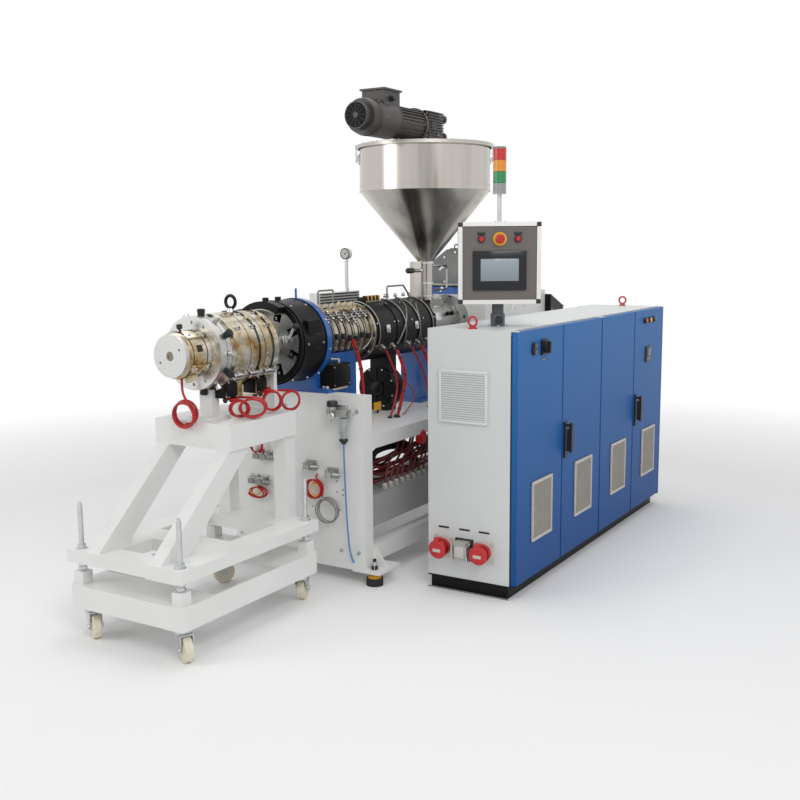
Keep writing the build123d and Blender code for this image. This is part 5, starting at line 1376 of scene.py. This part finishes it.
class EXTRUDER_OT_feed(ExtruderOperator, bpy.types.Operator):
    """Fit the feed slide, the hopper's clamps and beads and the stirrer drive's ribs"""

    bl_idname = "extruder.feed"
    bl_label = "Feed and hopper"

    def execute(self, context):
        bm = bmesh.new()
        # Slide handle, foot flange screws and the block's plates
        turned(
            bm, mm(316, 0, 1395), ALONG,
            [(0, 0), (10, 0), (15, 6), (15, 52), (11, 60), (11, 66), (0, 66)], 24
        )
        screws(bm, (452, 568), (-58, 58), (1235,), UP, 9, 9, 1)
        for z in (1250, 1320, 1430):
            bar(bm, mm(HOPPER, 0, z), mm(HOPPER, 0, z + 9), 48, segments=40, mat=1)
        for angle in range(0, 360, 60):
            spot = mm(*off_centre(HOPPER, 0, 40, angle), 1439)
            bar(bm, spot, spot + Vector((0, 0, 0.006)), 5, segments=6, mat=1)
        block(bm, (478, 542), (-74, -70), (1120, 1200), 1)
        block(bm, (441, 479), (-14, 64), (1388, 1402), 1)
        for z in (1290, 1405):
            bar(bm, mm(700, 0, z - 6), mm(700, 0, z + 6), 9, segments=6, mat=1)
        new_piece("feed_fittings", bm, [black_moulded_nylon, zinc_plate])

        bm = bmesh.new()
        for z, radius, wire in (
            (1819, 355.5, 3.0), (2043, 356, 4.5), (1849, 355.3, 1.4), (2066, 366, 3.0)
        ):
            ring(bm, mm(HOPPER, 0, z), UP, radius, wire, segments=96, sides=8, start=ALONG)
        for number in range(16):
            screw(bm, mm(*off_centre(HOPPER, 0, 361, number * 22.5 + 8), 2065), UP, 6, 4, 1)
        # Over-centre clamps that hold the lid
        for angle in (121.4, -58.6, 31.4):
            turn = Matrix.Translation(mm(HOPPER, 0, 0)) @ Matrix.Rotation(math.radians(angle), 4, "Z")
            block(bm, (354, 362), (-16, 16), (1966, 2022), 1, turn=turn)
            block(bm, (361, 369), (-11, 11), (1986, 2014), 1, turn=turn)
            for start, end, radius, tip, segments in (
                ((0.367, -0.010, 1.992), (0.376, -0.010, 2.058), 2.5, None, 10),
                ((0.367, 0.010, 1.992), (0.376, 0.010, 2.058), 2.5, None, 10),
                ((0.376, -0.012, 2.058), (0.376, 0.012, 2.058), 3, None, 10),
                ((0.372, 0, 1.976), (0.376, 0, 2.030), 6, 4, 12),
            ):
                bar(bm, turn @ Vector(start), turn @ Vector(end), radius, tip, segments, mat=1)
            block(bm, (355, 380), (-13, 13), (2064, 2070), 1, turn=turn)
        # Seam down the cone and drum
        bar(bm, mm(HOPPER + 355, 6, 1822), mm(HOPPER + 355, 6, 2042), 1.6, segments=8)
        bar(bm, mm(HOPPER + 45, 4, 1446), mm(HOPPER + 354, 6, 1818), 1.6, segments=8)
        new_piece("hopper_trim", bm, [polished_stainless, zinc_plate])

        bm = bmesh.new()
        for angle in range(0, 360, 12):
            # No fins under the terminal box, and shorter ones over the lid
            if 36 <= angle <= 324:
                reach = 84 if 130 < angle < 230 else 88
                block(bm, (146, 372), (-2, 2), (74, reach), edge=0, turn=seated(angle, STIRRER))
        for radius in (20, 32, 44, 56):
            hoop(bm, -165, radius, 1.5, 40, height=STIRRER)
        for angle in range(0, 360, 30):
            start = around(-164, angle, 12, centre_z=STIRRER)
            bar(bm, start, around(-164, angle, 62, centre_z=STIRRER), 1.3, segments=6)
        bar(bm, mm(-162.6, 0, STIRRER), mm(-161, 0, STIRRER), 60, segments=40, mat=1)
        bar(bm, mm(-165, 0, STIRRER), mm(-161, 0, STIRRER), 14, segments=28)
        for x in (-78, -60, 126):
            hoop(bm, x, 91.5, 2.0, 56, height=STIRRER)
        for angle in range(30, 390, 60):
            screw(bm, around(380, angle, 80, centre_z=STIRRER), FRONT, 7, 7, 2)
            screw(bm, around(-20, angle, 91, centre_z=STIRRER), outward(angle), 4, 3, 2)
        turned(
            bm, mm(60, -65, 2256), NEAR,
            [(0, 24), (9, 24), (12, 18), (12, 10), (15, 9), (15, 0), (0, 0)], 20, 3,
        )
        # Gearcase fins, the bosses of its shafts, cover screws and plugs
        for z in range(2112, 2236, 15):
            block(bm, (402, 600), (-70, 70), (z, z + 5), edge=0.001)
        for z in (2122, 2216):
            bar(bm, mm(596, -20, z), mm(668, -20, z), 17, segments=24)
            bar(bm, mm(662, -20, z), mm(680, -20, z), 25, segments=28)
            bar(bm, mm(680, -20, z), mm(688, -20, z), 10, segments=6, mat=2)
        screws(bm, (420, 580), (-63,), (2104, 2228), NEAR, 5, 4, 2)
        turned(bm, mm(500, -60, 2165), NEAR, [(0, 6), (24, 6), (28, 3), (28, 0), (0, 0)], 28)
        screw(bm, mm(545, -61, 2120), NEAR, 8, 6, 2)
        new_piece(
            "stirrer_fins", bm,
            [dark_painted_casting, black_powder_coat, dull_cast_steel, black_moulded_nylon],
        )
        return {"FINISHED"}


class EXTRUDER_OT_drive(ExtruderOperator, bpy.types.Operator):
    """Rib the main motor and fit the gearbox, the motor base and the belt guard"""

    bl_idname = "extruder.drive"
    bl_label = "Main drive"

    def execute(self, context):
        bm = bmesh.new()
        for x in range(892, 1376, 20):
            for y in (-161, 155):
                block(bm, (x, x + 7), (y, y + 6), (1304, 1432), edge=0.001)
        for y in range(-52, 60, 16):
            block(bm, (884, 1380), (y, y + 5), (1506, 1513), edge=0.001)
        for side in (-1, 1):
            for step in range(4):
                y = side * (74 + step * 20)
                z = 1494 - step * 14
                block(bm, (884, 1380), (y - 2.5, y + 2.5), (z - 8, z), edge=0.001)
        # Drive-end shield: rim, screws and cover
        bar(bm, mm(864, 0, MOTOR), mm(870, 0, MOTOR), 112, segments=48)
        bar(bm, mm(858, 0, MOTOR), mm(864, 0, MOTOR), 46, segments=32)
        screw_circle(bm, 864, range(0, 360, 45), 100, 7, 6, 1, out=FRONT, centre_z=MOTOR)
        for x in (890, 1370):
            for y in (-172, 172):
                block(bm, (x - 26, x + 26), (y - 18, y + 18), (1290, 1302))
                screw(bm, mm(x, y, 1302), UP, 10, 9, 1)
        # Terminal box on the far side
        block(bm, (980, 1160), (158, 206), (1340, 1450), edge=0.005)
        new_piece("motor_ribs", bm, [grey_painted_casting, zinc_plate])

        bm = bmesh.new()
        block(bm, (798, 806), (-196, 196), (1290, 1300), 1)
        block(bm, (799, 805), (-190, 190), (1300, 1309), 2)
        screws(bm, (800,), (-170, -60, 60, 170), (1270,), FRONT, 8, 7)
        screws(bm, (830, 960, 1430, 1560), (-210,), (1270,), NEAR, 8, 7)
        new_piece("motor_base_strips", bm, [zinc_plate, black_rubber, pale_glass_fibre])

        bm = bmesh.new()
        # Gearbox: split line, bearing cap, sight glass, drain plug and cover plate
        block(bm, (747, 1588), (-253, -250), (962, 974))
        block(bm, (746, 750), (-246, 246), (962, 974))
        screws(bm, range(780, 1590, 90), (-253,), (968,), NEAR, 8, 7, 1)
        turned(bm, mm(1180, -250, BARREL), NEAR, [(0, 12), (80, 12), (96, 8), (96, 0), (0, 0)], 48)
        for angle in range(0, 360, 45):
            z, x = off_centre(BARREL, 1180, 84, angle)
            screw(bm, mm(x, -259, z), NEAR, 7, 6, 1)
        block(bm, (820, 1010), (-254, -250), (740, 900))
        screws(bm, (832, 998), (-254,), (752, 888), NEAR, 6, 5, 1)
        turned(
            bm, mm(1480, -250, 780), NEAR, [(0, 6), (12, 6), (14, 9), (22, 9), (24, 0), (0, 0)], 28, 1
        )
        screw(bm, mm(1540, -250, 712), NEAR, 12, 12, 1)
        new_piece("gearbox_covers", bm, [white_sprayed_enamel, zinc_plate])

        bm = bmesh.new()
        # Guard screws and the drive housing's louvres
        screws(bm, (1604, 1786), (-290,), (1098, 1126), NEAR, 6, 4)
        for side in (-1, 1):
            for z in range(742, 922, 18):
                y = side * 251.5
                block(bm, (1300, 1420), (y - 1.6, y + 1.6), (z, z + 8), 1, edge=0)
            block(bm, (1292, 1428), (side * 251 - 1, side * 251 + 1), (732, 930), 2, edge=0)
        new_piece("drive_louvres", bm, [zinc_plate, black_powder_coat, white_sprayed_enamel])
        return {"FINISHED"}


class EXTRUDER_OT_base(ExtruderOperator, bpy.types.Operator):
    """Fit the regulator, connectors, coiled leads and hoses of the base"""

    bl_idname = "extruder.base"
    bl_label = "Base fittings"

    def execute(self, context):
        bm = bmesh.new()
        # Filter regulator on the end plate
        turned(
            bm, mm(-735, -232, 818), UP, [(0, 26), (22, 26), (25, 20), (25, 2), (20, 0), (0, 0)], 28
        )
        turned(bm, mm(-735, -232, 786), UP, [(0, 32), (20, 32), (20, 0), (0, 0)], 28, 1)
        block(bm, (-753, -715), (-318, -212), (776, 808), 1)
        turned(bm, mm(-757, -242, 778), FRONT, [(0, 12), (17, 12), (20, 8), (20, 0), (0, 0)], 28, 2)
        bar(bm, mm(-769.5, -242, 778), mm(-770, -242, 778), 15, segments=28, mat=3)
        turned(
            bm, mm(-735, -292, 770), DOWN, [(0, 98), (11, 96), (17, 84), (18, 20), (21, 0), (0, 0)], 28,
            4,
        )
        turned(
            bm, mm(-735, -292, 676), DOWN, [(0, 22), (10, 22), (14, 12), (20, 10), (20, 0), (0, 0)], 24,
            0,
        )
        block(bm, (-713, -700), (-300, -230), (760, 824), 2)
        block(bm, (-742, -728), (-346, -326), (782, 800), 2)
        new_piece(
            "air_regulator", bm,
            [black_moulded_nylon, dull_cast_steel, zinc_plate, pale_glass_fibre, clear_bowl],
        )

        bm = bmesh.new()
        # Connectors, sockets and capped holes on the end plate
        for y, z in ((-86, 532), (-208, 508), (168, 552), (212, 552), (196, 430), (244, 430)):
            block(bm, (-706, -700), (y - 30, y + 30), (z - 24, z + 24))
            block(bm, (-738, -706), (y - 24, y + 24), (z - 17, z + 17), edge=0.004)
            bar(bm, mm(-738, y, z), mm(-752, y - 8, z), 15, 13, segments=24)
            bar(bm, mm(-746, y - 26, z + 2), mm(-728, y - 60, z), 11, 9, segments=20)
            for dy in (-27, 27):
                bar(bm, mm(-712, y + dy, z - 12), mm(-730, y + dy, z + 14), 2.2, segments=8, mat=2)
        for y, z in ((-225, 470), (-226, 420), (-260, 433), (-259, 409), (-88, 337)):
            bar(bm, mm(-700, y, z), mm(-700.6, y, z), 3.5, segments=16, mat=1)
        screws(bm, (-700,), (-345, -250, 60, 345), (150, 800), FRONT, 9, 8, 2)
        new_piece("end_plate_fittings", bm, [sensor_housing_alloy, black_moulded_nylon, zinc_plate])

        red = coil_route(
            (-718, -117, 430), FAR, UP, 44, 3.1, start=100, drift=(-6.5, 0, 0), spread=0.10
        )
        red = [(-700, -117, 490), (-712, -118, 484)] + red
        upper = coil_route((-722, 206, 600), FAR, UP, 36, 2.6, start=200, drift=(-7, 0, 0), spread=0.2)
        lower = coil_route(
            (-720, 214, 376), FAR, UP, 46, 2.7, start=100, drift=(-6.5, 0, 0), squeeze=0.55, spread=0.2
        )
        upper = [(-738, 168, 552), (-744, 166, 575)] + upper
        lower = [(-738, 196, 430), (-742, 204, 410)] + lower
        soft_lines("end_plate_red_coils", [red, upper, lower], 0.0036, red_silicone_lead)
        yellow = coil_route((-724, -120, 428), FAR, UP, 30, 1.6, start=60, drift=(-6, 0, 0), spread=0.2)
        yellow2 = coil_route(
            (-726, 224, 380), FAR, UP, 34, 1.4, start=40, drift=(-6, 0, 0), squeeze=0.5
        )
        soft_lines("end_plate_yellow_leads", [yellow, yellow2], 0.0028, yellow_moulded_plastic)
        grey = coil_route((-720, -190, 338), FAR, UP, 56, 3.2, start=60, drift=(-7, 0, 0), spread=0.12)
        grey = [(-700, -150, 402), (-712, -152, 398)] + grey + [(-744, -250, 352), (-744, -280, 351)]
        soft_lines("end_plate_grey_coil", [grey], 0.003, grey_sensor_lead)
        air = [
            (-735, -292, 656), (-735, -292, 600), (-733, -296, 420), (-730, -302, 260),
            (-722, -310, 130), (-700, -313, 100),
        ]
        soft_lines("air_hose", [air], 0.004, blue_air_hose)

        # Hoses that rise from the trunk's glands, lie along the bay and go up to the deck
        rng = random.Random(11)
        hose = sizes().hose / 2
        risers = []
        for number in range(8):
            x = -445 + number * 52
            sway = rng.uniform(-16, 36)
            risers.append(
                [
                    (x, -322, 398),
                    (x, -324, 436),
                    (x + 12 + sway * 0.4, -326, 478),
                    (x + 60 + sway, -308 + rng.uniform(-12, 12), 496 + rng.uniform(-10, 26)),
                    (x + 150 + sway, -290, 520 + rng.uniform(-10, 40)),
                    (x + 220 + sway, -280, 640),
                ]
            )
        for number in range(16):
            y = -290 + (number % 4) * 30 + rng.uniform(-8, 8)
            z = 420 + (number // 4) * 34 + rng.uniform(-12, 12)
            wave = [rng.uniform(-22, 22) for _ in range(5)]
            risers.append(
                [
                    (-580, y, 636),
                    (-560, y, z + 60),
                    (-480, y + wave[0] * 0.4, z + wave[1]),
                    (-330, y + wave[2] * 0.4, z + wave[3]),
                    (-160, y, z + wave[4]),
                    (20, y - wave[0] * 0.4, z + 20 + wave[2]),
                    (200, y, z + 8 - wave[1]),
                    (380, y, z + 60),
                    (420, y, 636),
                ]
            )
        soft_lines("trunk_hoses", risers, hose * 0.62, dark_red_hose)
        arcs = []
        for number, reach in enumerate((96, 80, 62)):
            x, y, z = -250 + number * 14, -250 + number * 26, 460
            arcs.append(
                [
                    (x - 250, y, 420),
                    (x - 200, y, z + reach * 0.9),
                    (x - 60, y, z + reach * 1.35),
                    (x + 90, y, z + reach * 1.2),
                    (x + 200, y, z + reach * 0.5),
                    (x + 240, y, 420),
                ]
            )
        soft_lines("corrugated_hoses", arcs, hose * 1.3, black_rubber)
        bm = bmesh.new()
        for number in range(8):
            x = -445 + number * 52
            turned(
                bm, mm(x, -322, 396), UP,
                [(0, 26), (8, 26), (11, 20), (14, 19), (14, 4), (16, 3), (16, 0), (0, 0)], 20
            )
            bar(bm, mm(x, -322, 402), mm(x, -322, 409), 15.5, segments=6, mat=1)
        # Round socket under the deck's edge
        turned(
            bm, mm(-170, -354, 604), NEAR, [(0, 24), (30, 24), (36, 20), (38, 10), (40, 0), (0, 0)], 32,
            2,
        )
        turned(bm, mm(-170, -378, 604), NEAR, [(0, 4), (24, 4), (27, 2), (27, 0), (0, 0)], 32, 2)
        new_piece("trunk_glands", bm, [pale_glass_fibre, zinc_plate, red_moulded_plastic])

        bm = bmesh.new()
        # Lock nuts and yellow caps of the levelling feet
        for x in (-662, 1552):
            for y in (-401, 401):
                turned(
                    bm, mm(x, y, 33), UP, [(0, 16), (14, 16), (22, 6), (31, 2), (31, 0), (0, 0)], 32
                )
                bar(bm, mm(x, y, 72), mm(x, y, 86), 16, segments=6, mat=1)
                bar(bm, mm(x, y, 86), mm(x, y, 108), 9, segments=20, mat=1)
                bar(bm, mm(x, y, 48), mm(x, y, 57), 15, segments=6, mat=1)
        new_piece("foot_caps", bm, [yellow_moulded_plastic, zinc_plate])
        return {"FINISHED"}


class EXTRUDER_OT_trolley(ExtruderOperator, bpy.types.Operator):
    """Fit the trolley's jack nuts, header pads and caster hardware"""

    bl_idname = "extruder.trolley"
    bl_label = "Die trolley"

    def execute(self, context):
        bm = bmesh.new()
        for x in (-1760, -990):
            for y in (-260, 260):
                for z in (274, 292, 363):
                    bar(bm, mm(x, y, z), mm(x, y, z + 14), 17, segments=6)
                bar(bm, mm(x, y, 360), mm(x, y, 363), 23, segments=28)
        block(bm, (-1318, -1243), (-46, 46), (830, 840), 1)
        block(bm, (-1000, -950), (-60, 60), (830, 842), 1)
        new_piece("trolley_hardware", bm, [zinc_plate, white_sprayed_enamel])

        joints = {joint["name"]: joint for joint in frame["joints"]}
        for number in range(1, 5):
            roll = joints[f"caster_roll_{number}"]
            centre, axle = Vector(roll["pos_m"]), Vector(roll["axis"]).normalized()
            bm = bmesh.new()
            for out in (-axle, axle):
                turned(
                    bm, centre + out * 0.0155, out, [(0, 2), (16, 2), (18, 1), (18, 0), (0, 0)], 28
                )
                ring(bm, centre + out * 0.0155, out, 31, 1.2, segments=36, sides=6)
            new_piece(f"caster_hub_{number}", bm, [cream_cast_nylon], body=f"caster_wheel_{number}")

            fork_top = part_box(f"caster_fork_{number}")[1].z
            swivel = Vector(joints[f"caster_swivel_{number}"]["pos_m"])
            bm = bmesh.new()
            for out in (-axle, axle):
                screw(bm, centre + out * 0.0215, out, 8, 5)
            for z, radius in ((fork_top - 0.010, 24), (fork_top - 0.016, 27)):
                ring(bm, (swivel.x, swivel.y, z), UP, radius, 2.4, segments=36, start=ALONG)
            new_piece(f"caster_axle_{number}", bm, [zinc_plate], body=f"caster_fork_{number}")
        return {"FINISHED"}


class EXTRUDER_OT_cabinet(ExtruderOperator, bpy.types.Operator):
    """Fit the cabinet's grilles, sockets, connector plates, seams, controls and plinth flanges"""

    bl_idname = "extruder.cabinet"
    bl_label = "Control cabinet"

    def execute(self, context):
        for number in range(1, 5):
            low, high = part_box(f"door_{number}")
            x0, x1 = low.x * 1000, high.x * 1000
            bm = bmesh.new()
            centre = (x0 + x1) / 2 + 20
            face = DOOR_FACE
            # Grille: frame, slats and a mat behind them
            for a, b, c, d in border(110, 99, 122, 135):
                row_block(
                    bm, (centre + a, centre + b), (face - 7, face + 1), (360 + c, 360 + d), edge=0.0008
                )
            for step in range(35):
                z = 240 + step * 7
                row_block(bm, (centre - 99, centre + 99), (face - 4, face - 2), (z, z + 3.5), 1, edge=0)
            for step in range(5):
                x = centre - 80 + step * 40
                row_block(bm, (x - 1.5, x + 1.5), (face - 5, face - 2), (238, 482), 1, edge=0)
            # The mat behind the slats is darker, painted shade in their gaps
            row_block(bm, (centre - 99, centre + 99), (face - 2, face), (238, 482), 3, edge=0)
            # Folded edges of the door
            for x in (x0 + 1.2, x1 - 3.2):
                row_block(bm, (x, x + 2), (face - 0.8, face + 0.6), (67, 1163), 2, edge=0)
            new_piece(
                f"door_{number}_grille", bm,
                [pale_glass_fibre, warm_grille, blue_powder_coat, shaded_grille], body=f"door_{number}",
            )

        bm = bmesh.new()
        # Black rubber sheet behind all the doors: a seal line that also stands as painted shade in the
        # gaps between the doors; and the plinth's bent flange
        row_block(bm, (-549, 1449), (-706, -700), (66, 1150), edge=0)
        row_block(bm, (-559, -550), (-699, -299), (0, 4), 1, edge=0.001)
        row_block(bm, (-553, -550), (-699, -299), (54, 60), 2, edge=0.001)
        new_piece("cabinet_seams", bm, [black_rubber, grey_painted_casting, black_powder_coat])

        bm = bmesh.new()
        # Side grille: frame and many slats
        for a, b, c, d in border(117, 106, 104, 115):
            row_block(bm, (-564, -549), (-478 + a, -478 + b), (878 + c, 878 + d), 6, edge=0.001)
        for step in range(21):
            z = 776 + step * 10
            row_block(bm, (-561.5, -558), (-583, -373), (z, z + 4.5), 6, edge=0)
        row_block(bm, (-558.6, -557.5), (-583, -373), (775, 981), 7, edge=0)
        # Round sockets: base plate, collar, flap lid with its hinge and a bare label
        for y in (-578, -378):
            row_block(bm, (-558, -550), (y - 48, y + 48), (150, 246), edge=0.003)
            for dy, z in itertools.product((-40, 40), (158, 238)):
                screw(bm, spot_at(-558, y + dy, z), FRONT, 3.5, 2.5, 2)
            turned(
                bm, spot_at(-610, y, 196), (-1, 0, -0.12),
                [(0, 9), (36, 9), (42, 5), (43, -4), (0, -4)], 40, 3,
            )
            row_block(bm, (-622, -598), (y - 13, y + 13), (232, 252), 3)
            row_block(bm, (-621, -618.6), (y - 19, y + 19), (186, 200), edge=0.0005)
            ring(bm, spot_at(-588, y, 198), ALONG, 39, 2.2, segments=40, mat=3)
        # Rectangular connector with its levers
        row_block(bm, (-556, -550), (-526, -438), (146, 246), 4)
        row_block(bm, (-602, -556), (-512, -452), (166, 226), 5)
        for y in (-520, -448):
            bends = [(-566, y, 166), (-606, y, 158), (-612, y, 222), (-572, y, 232)]
            for start, end in zip(bends, bends[1:]):
                bar(bm, spot_at(*start), spot_at(*end), 3, segments=10, mat=2)
            bar(bm, spot_at(-566, y + 3, 196), spot_at(-566, y - 3, 196), 7, segments=16, mat=2)
        row_block(bm, (-606, -600), (-506, -458), (172, 220))
        for y in (-578, -482, -378):
            row_block(bm, (-552, -550), (y - 26, y + 26), (281, 289), 4, edge=0.0005)
        new_piece(
            "cabinet_side_fittings", bm,
            [
                pale_glass_fibre, warm_grey_foil, zinc_plate, red_moulded_plastic, black_moulded_nylon,
                dull_cast_steel, white_moulded_grille, pale_filter_mat,
            ],
        )

        # Lock barrels and the grips' backs ride with their levers
        for number, start in ((2, DOOR_2), (4, DOOR_4)):
            bm = bmesh.new()
            x = start + 28
            row_block(bm, (x - 9, x + 9), (-758, -745), (572, 676), 2, edge=0.002)
            bar(bm, spot_at(x, -769, 694), spot_at(x, -770.6, 694), 8, segments=24)
            bar(bm, spot_at(x, -770.6, 694), spot_at(x, -771, 694), 3, segments=12, mat=1)
            new_piece(
                f"door_{number}_barrel", bm, [zinc_plate, black_rubber, black_moulded_nylon],
                body=f"door_{number}_lever",
            )
        bm = bmesh.new()
        # Rocker, meter window and button caps on the doors
        x = DOOR_1 + 165
        row_block(bm, (x - 17, x + 17), (-741, -731), (1056, 1110))
        for z in (1062, 1086):
            row_block(bm, (x - 11, x + 11), (-745, -740), (z, z + 19), 1)
        row_block(bm, (DOOR_1 + 252, DOOR_1 + 288), (-733, -730.5), (1022, 1031), 2)
        new_piece(
            "door_1_rocker", bm, [black_moulded_nylon, slate_paint, scorched_bronze], body="door_1"
        )
        bm = bmesh.new()
        x = DOOR_4 + 225
        row_block(bm, (x - 44, x + 44), (-738, -730), (873, 961))
        row_block(bm, (x - 33, x + 33), (-740, -737), (905, 950), 1)
        row_block(bm, (x - 33, x + 33), (-739, -737), (882, 900), 6)
        for dx, mat in ((160, 3), (232, 5), (302, 4)):
            centre = DOOR_4 + dx
            turned(
                bm, spot_at(centre, DOOR_FACE, 1108), NEAR,
                [(0, 14), (12, 14), (15, 5), (17, 5), (17, 0), (0, 0)], 24
            )
            turned(bm, spot_at(centre, -745, 1108), NEAR, [(0, 5), (11, 4), (13, 0), (0, 0)], 24, mat)
        new_piece(
            "door_4_instruments", bm,
            [
                black_moulded_nylon, dark_gloss_acrylic, zinc_plate, red_moulded_plastic,
                blue_dark_plastic, yellow_moulded_plastic, slate_paint,
            ],
            body="door_4",
        )
        bm = bmesh.new()
        for x in (-510, 1410):
            turned(bm, spot_at(x, -499, 1170), UP, [(0, 7), (17, 7), (20, 3), (20, 0), (0, 0)], 28)
        for x in (-300, 200, 700, 1200):
            for y in (-680, -318):
                screw(bm, spot_at(x, y, 1170), UP, 5, 3, 1)
        row_block(bm, (449, 451), (-699, -299), (1169.5, 1170.4), 1, edge=0)
        new_piece("cabinet_top_fittings", bm, [red_enamel, grey_powder_coat])
        return {"FINISHED"}


class EXTRUDER_OT_panel(ExtruderOperator, bpy.types.Operator):
    """Fit the operator panel's screen, buttons and corners, the collar's knob and the lamp's ribs"""

    bl_idname = "extruder.panel"
    bl_label = "Operator panel"

    def execute(self, context):
        # Spans run right across the panel, back from its face, and up
        right, back = Vector((0.520, -0.854, 0)), Vector((0.854, 0.520, 0))
        turn = Matrix.Translation(spot_at(*POLE, 0)) @ Matrix((right, back, UP)).transposed().to_4x4()

        def spot(across, deep, up):
            return turn @ Vector((across / 1000, deep / 1000, up / 1000))

        bm = bmesh.new()
        for across in (-181, 160):
            for up in (1271, 1605):
                block(bm, (across, across + 21), (-78, -40), (up, up + 21), edge=0.003, turn=turn)
        block(bm, (-117, 117), (-79.5, -75), (1331, 1501), 1, edge=0.003, turn=turn)
        block(bm, (-83, 83), (-80.6, -79), (1371, 1467), 2, edge=0.001, turn=turn)
        for across in (-80, 80):
            bar(bm, spot(across, -76, 1553), spot(across, -80, 1553), 16, segments=28)
            turned(
                bm, spot(across, -80, 1553), -back, [(0, 9), (10, 8), (12, 4), (12, 0), (0, 0)], 28, 3
            )
        bar(bm, spot(0, -76, 1553), spot(0, -79, 1553), 30, segments=36, mat=5)
        bar(bm, spot(0, -79, 1553), spot(0, -92, 1553), 13, segments=24, mat=4)
        turned(
            bm, spot(0, -90, 1553), -back, [(0, 15), (14, 14), (20, 9), (20, 2), (14, 0), (0, 0)], 32, 3
        )
        for across in (-80, 80):
            block(bm, (across - 17, across + 17), (-77.2, -76), (1572, 1582), edge=0.0004, turn=turn)
        # Rear cover screws, vents and the hub that holds the pole
        for across in (-130, 130):
            for up in (1300, 1600):
                screw(bm, spot(across, 70, up), back, 5, 3, 4)
        for up in range(1340, 1460, 12):
            block(bm, (-60, 60), (69, 72), (up, up + 5), edge=0.0005, turn=turn)
        new_piece(
            "panel_face", bm,
            [
                black_moulded_nylon, dark_gloss_acrylic, screen_glass, red_moulded_plastic, zinc_plate,
                yellow_moulded_plastic, pale_glass_fibre,
            ],
            body="panel",
        )

        bm = bmesh.new()
        lamp = (-300.4, -522.3)
        for z in (1794, 1843, 1892, 1941):
            ring(bm, spot_at(*lamp, z), UP, 28.5, 1.4, segments=40, sides=6, start=ALONG)
        turned(bm, spot_at(*lamp, 1941), UP, [(0, 10), (26, 9), (28.5, 5), (29, 0), (0, 0)], 36, 1)
        for angle in (45, 165, 285):
            screw(bm, spot_at(*off_centre(*lamp, 26, angle), 1626), UP, 3.5, 2.5)
        new_piece("lamp_bands", bm, [black_moulded_nylon, grey_sensor_lead], body="panel")

        bm = bmesh.new()
        # Collar's clamp knob and foot screws
        start = spot_at(POLE[0] - 30, POLE[1] - 18, 1200)
        out = Vector((-0.86, -0.5, 0))
        bar(bm, start, start + out * 0.022, 5, segments=14, mat=1)
        turned(
            bm, start + out * 0.018, out, [(0, 22), (13, 21), (17, 15), (17, 6), (9, 0), (0, 0)], 20
        )
        for angle in range(30, 390, 90):
            screw(bm, spot_at(*off_centre(*POLE, 42, angle), 1171), UP, 5, 4, 1)
        new_piece("collar_knob", bm, [black_moulded_nylon, zinc_plate])
        return {"FINISHED"}


class EXTRUDER_PT_panel(bpy.types.Panel):
    """Lists the extruder's pieces, sizes and colours"""

    bl_idname = "EXTRUDER_PT_panel"
    bl_label = "Plastic extruder"
    bl_space_type = "VIEW_3D"
    bl_region_type = "UI"
    bl_category = "Extruder"

    def draw(self, context):
        layout = self.layout
        for group in (sizes(), colours()):
            box = layout.box()
            for name in group.bl_rna.properties.keys():
                if name not in ("rna_type", "name"):
                    box.prop(group, name)
        for operator in OPERATORS:
            layout.operator(operator.bl_idname)


OPERATORS = (
    EXTRUDER_OT_stage,
    EXTRUDER_OT_leads,
    EXTRUDER_OT_harness,
    EXTRUDER_OT_finishes,
    EXTRUDER_OT_die,
    EXTRUDER_OT_ring_clamp,
    EXTRUDER_OT_barrel,
    EXTRUDER_OT_cooling,
    EXTRUDER_OT_feed,
    EXTRUDER_OT_drive,
    EXTRUDER_OT_base,
    EXTRUDER_OT_trolley,
    EXTRUDER_OT_cabinet,
    EXTRUDER_OT_panel,
)
CLASSES = (ExtruderColours, ExtruderSizes, *OPERATORS, EXTRUDER_PT_panel)


def register():
    for cls in CLASSES:
        bpy.utils.register_class(cls)
    bpy.types.Scene.extruder_colours = bpy.props.PointerProperty(type=ExtruderColours)
    bpy.types.Scene.extruder_sizes = bpy.props.PointerProperty(type=ExtruderSizes)


def unregister():
    del bpy.types.Scene.extruder_sizes
    del bpy.types.Scene.extruder_colours
    for cls in reversed(CLASSES):
        bpy.utils.unregister_class(cls)


def main():
    register()
    for operator in OPERATORS:
        group, name = operator.bl_idname.split(".")
        getattr(getattr(bpy.ops, group), name)()


if __name__ == "__main__":
    main()
